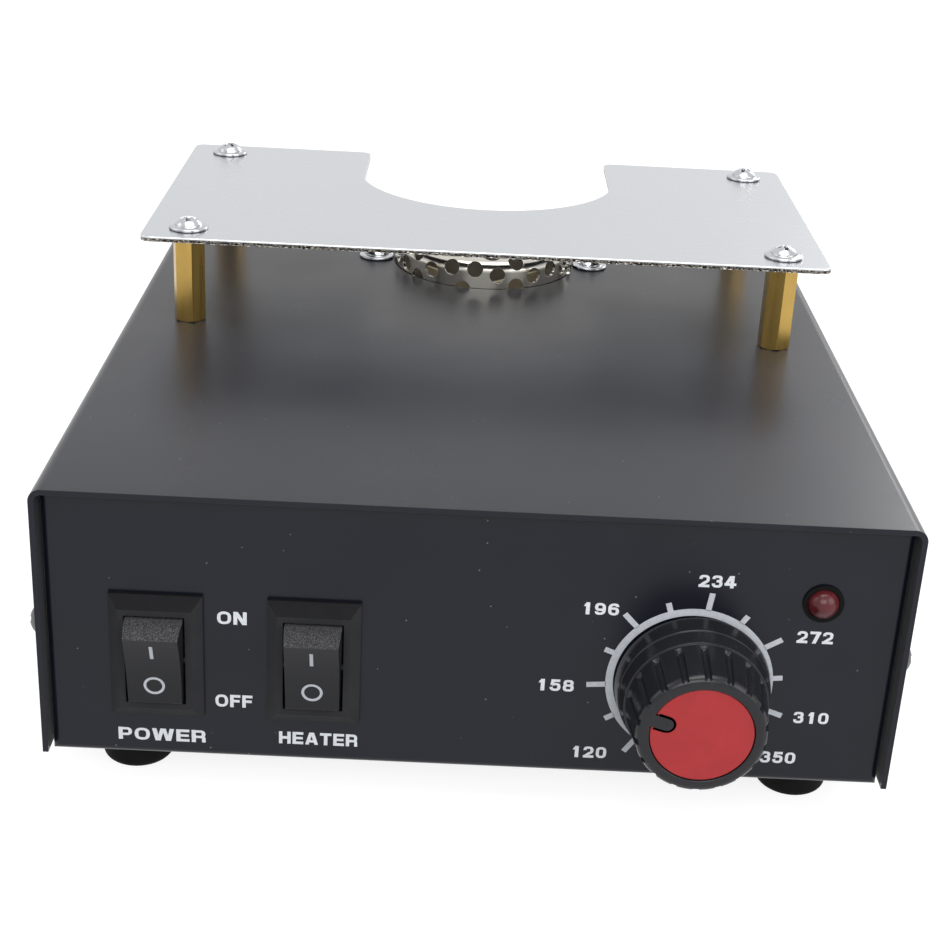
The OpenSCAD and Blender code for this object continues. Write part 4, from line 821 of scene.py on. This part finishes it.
# %% Rocker marks
ROCKER_SWING = math.radians(28)
ROCKER_R, ROCKER_SPREAD, ROCKER_DISH = 7.55, math.radians(64), 0.7
face_half = ROCKER_R * math.sin(ROCKER_SPREAD)
dish_r = (face_half**2 + ROCKER_DISH**2) / (2 * ROCKER_DISH)


def on_rocker(joint):
    """Returns a function that lays local points on the face of that joint's rocker."""
    pivot = axis_at[joint]

    def lay(points):
        x, y, z = np.moveaxis(np.asarray(points), -1, 0)
        face = ROCKER_R * math.cos(ROCKER_SPREAD) - ROCKER_DISH + dish_r - np.sqrt(dish_r**2 - y**2)
        out = face + z
        c, s = math.cos(ROCKER_SWING / 2), math.sin(ROCKER_SWING / 2)
        return np.stack([pivot[0] + x, pivot[1] - (y * s + out * c), pivot[2] + y * c - out * s], axis=-1)

    return lay


def mark_ring(middle, outer, inner, columns=48):
    """Ring in the face's plane."""
    flat = np.array([inner, outer])[:, None, None] * around(full_turn(columns)) + [0, middle]
    return flat.reshape(-1, 2), grid_faces(2, columns, True)


def mark_bar(low, high, width, rows=6):
    """Upright bar in the face's plane, in short rows so that it can bend."""
    y = np.linspace(low, high, rows)[:, None]
    flat = np.stack([np.array([-width, width]) / 2 + 0 * y, y + 0 * np.zeros(2)], axis=-1)
    return flat.reshape(-1, 2), grid_faces(rows, 2, False)


for switch in ("power", "heater"):
    joint, body = switch + "_switch", switch + "_rocker"
    film(switch + "_off_mark", *mark_ring(-3.35, 1.7, 1.27), on_rocker(joint), thin_ink, body, "rocker_plastic")
    film(switch + "_on_mark", *mark_bar(2.45, 5.4, 0.55), on_rocker(joint), thin_ink, body, "rocker_plastic")

# %% [markdown]
# The rocker itself is smooth on its face and coarsely grained on its rounded ends. One material does both:
# distance from the pivot, seen along the axis, says which it is, because the ends lie on one circle and the
# face inside it.

# %% Rocker plastic
def rocker_plastic(switch):
    """Smooth face, coarse grain on the ends with pale specks painted in its colour as glints: the mask is the distance
    from the turning axis.
    """
    plastic = Finish(switch + "_rocker_plastic", Specular_IOR_Level=0.23).soften(0.15)
    pivot = axis_at[switch + "_switch"]
    local = plastic.node("Mapping", Vector=plastic.place, Location=(0, -pivot[1] * MM, -pivot[2] * MM),
                         Scale=(0, 1, 1)).outputs["Vector"]
    far = plastic.node("VectorMath", {"operation": "LENGTH"}, Vector=local).outputs["Value"]
    ends = plastic.span(far, 0.0, 1.0, (ROCKER_R - 0.12) * MM, (ROCKER_R - 0.04) * MM)
    # Pale specks in the grain's colour are painted glints; the bumped grain itself is real.
    painted_glint = plastic.span(plastic.noise(0.17, 3.0), 0.0, 1.0, 0.45, 0.65)
    grain_glint_tone = plastic.blend(painted_glint, (0.016, 0.016, 0.017), (0.10, 0.10, 0.105))
    plastic.colour(plastic.blend(ends, (0.0112, 0.0115, 0.0142), grain_glint_tone))
    plastic.rough(plastic.span(ends, 0.4, 0.7, 0.0, 1.0))
    return plastic.grain(plastic.calculate("MULTIPLY", plastic.noise(0.3, 3.0), ends), 0.06)


for switch in ("power", "heater"):
    dress(rocker_plastic(switch), switch + "_rocker")
print("rocker face", round(2 * face_half, 2), "mm high")

# %% [markdown]
# The support plate is sheared from stainless sheet: its upper edge is rolled over by the cut and shines, and
# below that the metal tore and is rough. The edge is a profile carried along the plate's outline, with random
# depth on the torn rows. The two faces are triangulated between the outline and the screw holes.

# %% Support plate
PLATE_CORNER, NOTCH_HALF, NOTCH_R = 2.2, 26.0, 27.0
HOLE_SIDE, HOLE_END, HOLE_R = 8.3, 6.8, 1.7
NOTCH_BACK = 4.0
outlet_middle = middle_mm("outlet_cup")
plate_t = plate_high[2] - plate_low[2]
hole_x = plate_high[0] - HOLE_SIDE
hole_ys = (plate_low[1] + HOLE_END, plate_high[1] - HOLE_END)
hole_places = np.array([(side * hole_x, y) for side in (-1, 1) for y in hole_ys])


def plate_outline():
    """Counter-clockwise outline: straight sides with round corners, and a notch whose end is an arc."""
    x, front, rear = plate_high[0], plate_low[1], plate_high[1]
    notch_y = outlet_middle[1] + NOTCH_BACK
    bend = math.acos(NOTCH_HALF / NOTCH_R)
    arc = np.linspace(-np.pi + bend, -bend, 90)
    round_end = NOTCH_R * around(arc) + [0, notch_y]
    sides = [(NOTCH_HALF, notch_y), (NOTCH_HALF, rear), (x, rear), (x, front), (-x, front), (-x, rear),
             (-NOTCH_HALF, rear), (-NOTCH_HALF, notch_y)]
    line = rounded(sides, [0] + [PLATE_CORNER] * 6 + [0], 9)
    return np.concatenate([line[1:-1], round_end])[::-1]


def ring_of(middle, radius, columns):
    """Circle in the plate's plane."""
    return middle + radius * around(full_turn(columns))


def filled(rings):
    """Triangles inside the first ring and outside the others."""
    counts = [len(ring) for ring in rings]
    starts = np.cumsum([0] + counts[:-1])
    edges = np.concatenate([
        np.stack([start + np.arange(n), start + (np.arange(n) + 1) % n], axis=-1)
        for start, n in zip(starts, counts)])
    verts, faces = triangulated(np.concatenate(rings), edges.tolist(), [], 1e-6)
    centre = verts[faces].mean(axis=1)[:, None]
    holes = np.array([ring.mean(axis=0) for ring in rings[1:]])
    return verts, faces[np.linalg.norm(centre - holes, axis=-1).min(axis=1) > HOLE_R]


TEAR_FROM, TEAR_TO, TEAR_DEPTH = 0.08, 0.62, 0.06
edge_profile = rounded([(0.12, 0), (0, 0.06), (0, TEAR_TO), (0, plate_t), (0.3, plate_t)],
                       [0, 0.05, 0.05, 0.24, 0], 6)


def sheared_plate():
    """Edge rows with torn depth, then both faces, and a plain wall in each screw hole."""
    ring = even(plate_outline(), 1500)
    profile = split_long(edge_profile, 0.12)
    rows = lipped_plate(ring, profile)
    chance = np.random.default_rng(7).normal(0, 1, rows.shape[:2])
    torn = (profile[:, 1] > TEAR_FROM) & (profile[:, 1] < TEAR_TO)
    depth = np.abs(chance + np.roll(chance, 1, axis=1)) * TEAR_DEPTH * 0.5 * torn[:, None]
    rows[..., :2] += inward(ring)[None] * depth[..., None]
    points, faces = [rows.reshape(-1, 3)], grid_faces(*rows.shape[:2], True).tolist()
    holes = [ring_of(place, HOLE_R, 32) for place in hole_places]
    for level, border in ((0.0, rows[0]), (plate_t, rows[-1])):
        flat, triangles = filled([border[:, :2]] + holes)
        start = sum(len(part) for part in points)
        points.append(raised(flat, level))
        faces += (triangles + start).tolist()
    for hole in holes:
        start = sum(len(part) for part in points)
        points.append(np.concatenate([raised(hole, level) for level in (0.0, plate_t)]))
        faces += (grid_faces(2, len(hole), True) + start).tolist()
    return np.concatenate(points) + [0, 0, plate_low[2]], faces


def plate_steel():
    """Matte rolled stainless: very fine lines across the plate and faint cloudy handling marks. On the edge,
    where the surface stands upright, the band below the shiny cut is coloured near black with pale speckle."""
    steel = Finish("rolled_stainless", Metallic=1.0)
    lines = steel.noise(0.35, 2.0, steel.stretched((0.03, 1, 1)))
    sheet = steel.blend(steel.noise(25.0), (0.57, 0.592, 0.612), (0.59, 0.606, 0.63))
    upright = steel.span(steel.calculate("ABSOLUTE", steel.facing_up()), 1.0, 0.0, 0.35, 0.75)
    height = steel.node("SeparateXYZ", Vector=steel.place).outputs["Z"]
    line = (plate_low[2] + TEAR_TO) * MM
    torn = steel.calculate("MULTIPLY", upright, steel.span(height, 1.0, 0.0, line, line + 0.1 * MM))
    speckle = steel.span(steel.noise(0.4, 3.0), 0.0, 1.0, 0.42, 0.64)
    low_edge_tone = steel.blend(speckle, (0.014, 0.011, 0.009), (0.42, 0.38, 0.32))
    steel.colour(steel.blend(torn, sheet, low_edge_tone))
    steel.rough(steel.span(lines, 0.25, 0.29))
    return steel.grain(lines, 0.0003)


plate = piece_from("sheared_plate", *sheared_plate(), plate_steel(), "plate_steel")
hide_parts("support_plate")

# %% [markdown]
# The bright screws are the plate's jewels. A screw is one grid: from the axis out over the crown, round the
# washer's rim, under it, and down the thread. The cross recess is a second height function, taken away from
# the crown, and the thread is a ripple that climbs one pitch a turn.

# %% Screws
HEAD_R, HEAD_H, HEAD_EDGE, WASHER_H = 2.6, 2.2, 0.3, 0.7
RECESS_R, RECESS_DEPTH, WING, WING_WALL = 1.55, 1.25, 0.42, 0.14
THREAD_PITCH, THREAD_DEPTH, SHANK_R = 0.5, 0.25, 1.5


def cross_depth(x, y):
    """Depth of the cross recess: each wing is deepest at the axis, shallow at its tip, with leaning walls."""
    def wing(along, across):
        length = np.clip(1 - np.abs(along) / RECESS_R, 0, 1) ** 0.6
        wall = np.clip((WING - np.abs(across)) / WING_WALL, 0, 1)
        return RECESS_DEPTH * length * wall
    return np.maximum(wing(x, y), wing(y, x))


def screw_grid(head_r, washer_r, shank_l, columns=72):
    """Rows of (radius, height): crown with its recess, rim, seat, thread and a blunt tip."""
    washer_h = WASHER_H if washer_r > head_r else 0.0
    crown = HEAD_H - washer_h - HEAD_EDGE
    ball_r = (head_r**2 + crown**2) / (2 * crown)
    r = np.linspace(0, head_r, 40)
    top = np.stack([r, HEAD_H - ball_r + np.sqrt(ball_r**2 - r**2)], axis=-1)
    if washer_h:
        rim = rounded([(head_r, washer_h + HEAD_EDGE), (head_r, washer_h), (washer_r, washer_h * 0.8),
                       (washer_r, 0), (SHANK_R, 0)], [0, 0.22, 0.2, 0.15, 0], 5)
    else:
        rim = rounded([(head_r, HEAD_EDGE), (head_r, 0), (SHANK_R, 0)], [0, 0.12, 0], 5)
    depth = np.linspace(-0.2, -shank_l, max(8, int(4 * shank_l / THREAD_PITCH)))
    shank = np.stack([np.full_like(depth, SHANK_R), depth], axis=-1)
    tip = np.array([(SHANK_R - THREAD_DEPTH, -shank_l), (0, -shank_l)])
    profile = np.concatenate([top, rim, shank, tip])
    grid = turned(profile, columns)
    on_top = np.arange(len(profile)) < len(top)
    grid[..., 2] -= np.where(on_top[:, None], cross_depth(grid[..., 0], grid[..., 1]), 0)
    threaded = slice(len(top) + len(rim), len(profile) - 2)
    angle = np.linspace(0, 1, columns, endpoint=False)[None]
    ripple = np.abs(((grid[threaded, :, 2] / THREAD_PITCH + angle) % 1) - 0.5) * 2
    grid[threaded, :, :2] *= (1 - THREAD_DEPTH / SHANK_R * ripple)[..., None]
    return grid


def standing(grid, places, turns):
    """Copies of a grid that stand upright at each place, each turned about its own axis."""
    angle = np.radians(np.asarray(turns))
    c, s = np.cos(angle)[:, None, None], np.sin(angle)[:, None, None]
    x, y, z = np.moveaxis(grid[None], -1, 0)
    copies = np.stack([x * c - y * s, x * s + y * c, z + 0 * c], axis=-1)
    return copies + np.asarray(places)[:, None, None]


outlet_low, outlet_high = box_mm("outlet_screws")
washer_r = (outlet_high[1] - outlet_low[1]) / 2
plate_shank = plate_high[2] - box_mm("plate_screws")[0][2]
plate_spots = raised(hole_places, plate_high[2])
plate_screws = piece_from_grids("plate_screws_bright",
                                standing(screw_grid(HEAD_R, washer_r, plate_shank), plate_spots, (4, 38, 8, 62)),
                                zinc, "bright_screws", smooth=30)
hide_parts("plate_screws")
outlet_spots = [(x, outlet_middle[1], cover_top)
                for x in (outlet_low[0] + washer_r, outlet_high[0] - washer_r)]
outlet_screws = piece_from_grids("outlet_screws_bright",
                                 standing(screw_grid(HEAD_R, washer_r, cover_top - outlet_low[2]),
                                          outlet_spots, (20, 65)),
                                 zinc, "bright_screws", smooth=30)
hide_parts("outlet_screws")

# %% Side screws
PAN_R, SIDE_SHANK = 2.9, 5.0
side_low, side_high = box_mm("cover_screws")
cover_side = box_mm("cover")[1][0]
side_ys = (side_low[1] + PAN_R, side_high[1] - PAN_R)
side_z = (side_low[2] + side_high[2]) / 2


def lying(grid, side, y, turn):
    """A grid with its axis out of the cover's side."""
    spun = standing(grid, [(0, 0, 0)], [turn])[0]
    u, v, out = np.moveaxis(spun, -1, 0)
    return np.stack([side * (cover_side + out), y + u, side_z + side * v], axis=-1)


pan_screw = screw_grid(PAN_R, 0, SIDE_SHANK)
side_grids = [lying(pan_screw, side, y, turn)
              for side, y, turn in zip((-1, -1, 1, 1), side_ys * 2, (15, 50, 70, 33))]
side_screws = piece_from_grids("side_screws_dark", side_grids, dark_steel, "dark_screws", smooth=30)
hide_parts("cover_screws")

# %% [markdown]
# The object stands on a plain pale floor under soft studio light. White comes from the floor and the world,
# which are white to the camera, to reflections and through glass, and dimmer as lamps. Large area lamps in
# front, at the sides, above and behind give the long soft highlights of product photographs.

# %% Floor and light
FLOOR_HALF, FLOOR_TONE, FLOOR_GLOW = 4.0, 0.3, 0.84
WORLD_LIGHT = 0.55
floor_mesh = bpy.data.meshes.new("floor")
floor_flat = np.array([(-1, -1, 0), (1, -1, 0), (1, 1, 0), (-1, 1, 0)]) * FLOOR_HALF
floor_mesh.from_pydata(floor_flat, [], [(0, 1, 2, 3)])
floor = bpy.data.objects.new("floor", floor_mesh)
bpy.context.scene.collection.objects.link(floor)


def seen_directly(tree):
    """1 for camera, glossy and transmission rays, 0 for light that falls on the object."""
    path = tree.nodes.new("ShaderNodeLightPath")
    total = path.outputs["Is Camera Ray"]
    for ray in ("Is Glossy Ray", "Is Transmission Ray"):
        either = tree.nodes.new("ShaderNodeMath")
        either.operation = "MAXIMUM"
        tree.links.new(total, either.inputs[0])
        tree.links.new(path.outputs[ray], either.inputs[1])
        total = either.outputs["Value"]
    return total


pale_floor = Finish("pale_floor", Base_Color=(FLOOR_TONE, FLOOR_TONE, FLOOR_TONE, 1), Roughness=0.9,
                    Specular_IOR_Level=0.0, Emission_Color=(1, 1, 1, 1))
glow = pale_floor.calculate("MULTIPLY", seen_directly(pale_floor.tree), FLOOR_GLOW)
pale_floor.feed(pale_floor.shader.inputs["Emission Strength"], glow)
floor_mesh.materials.append(pale_floor.material)

world = bpy.data.worlds.new("studio")
bpy.context.scene.world = world
world.use_nodes = True
sky = world.node_tree.nodes["Background"]
sky.inputs["Color"].default_value = (1, 1, 1, 1)
level = world.node_tree.nodes.new("ShaderNodeMapRange")
level.inputs["To Min"].default_value = WORLD_LIGHT
level.inputs["To Max"].default_value = 1.0
world.node_tree.links.new(seen_directly(world.node_tree), level.inputs["Value"])
world.node_tree.links.new(level.outputs["Result"], sky.inputs["Strength"])


def softbox(name, place, aim, size, watts):
    """Area lamp that faces a point, both in metres."""
    data = bpy.data.lights.new(name, "AREA")
    data.shape, data.size, data.size_y, data.energy = "RECTANGLE", size[0], size[1], watts
    lamp = bpy.data.objects.new(name, data)
    lamp.location = place
    lamp.rotation_euler = (Vector(aim) - Vector(place)).to_track_quat("-Z", "Y").to_euler()
    bpy.context.scene.collection.objects.link(lamp)


softbox("front", (-0.05, -0.75, 0.48), (0, -0.06, 0.03), (0.6, 0.4), 2.6)
softbox("right", (0.48, -0.36, 0.30), (0.05, 0, 0.04), (0.4, 0.4), 1.2)
softbox("left", (-0.60, -0.05, 0.42), (0, 0, 0.04), (0.5, 0.4), 0.8)
softbox("top", (0.03, -0.08, 0.75), (0, 0, 0.04), (0.5, 0.4), 2.9)
softbox("behind_right", (0.48, 0.70, 0.48), (0.03, 0, 0.06), (0.4, 0.3), 2.1)
print("lamps", len(bpy.data.lights))
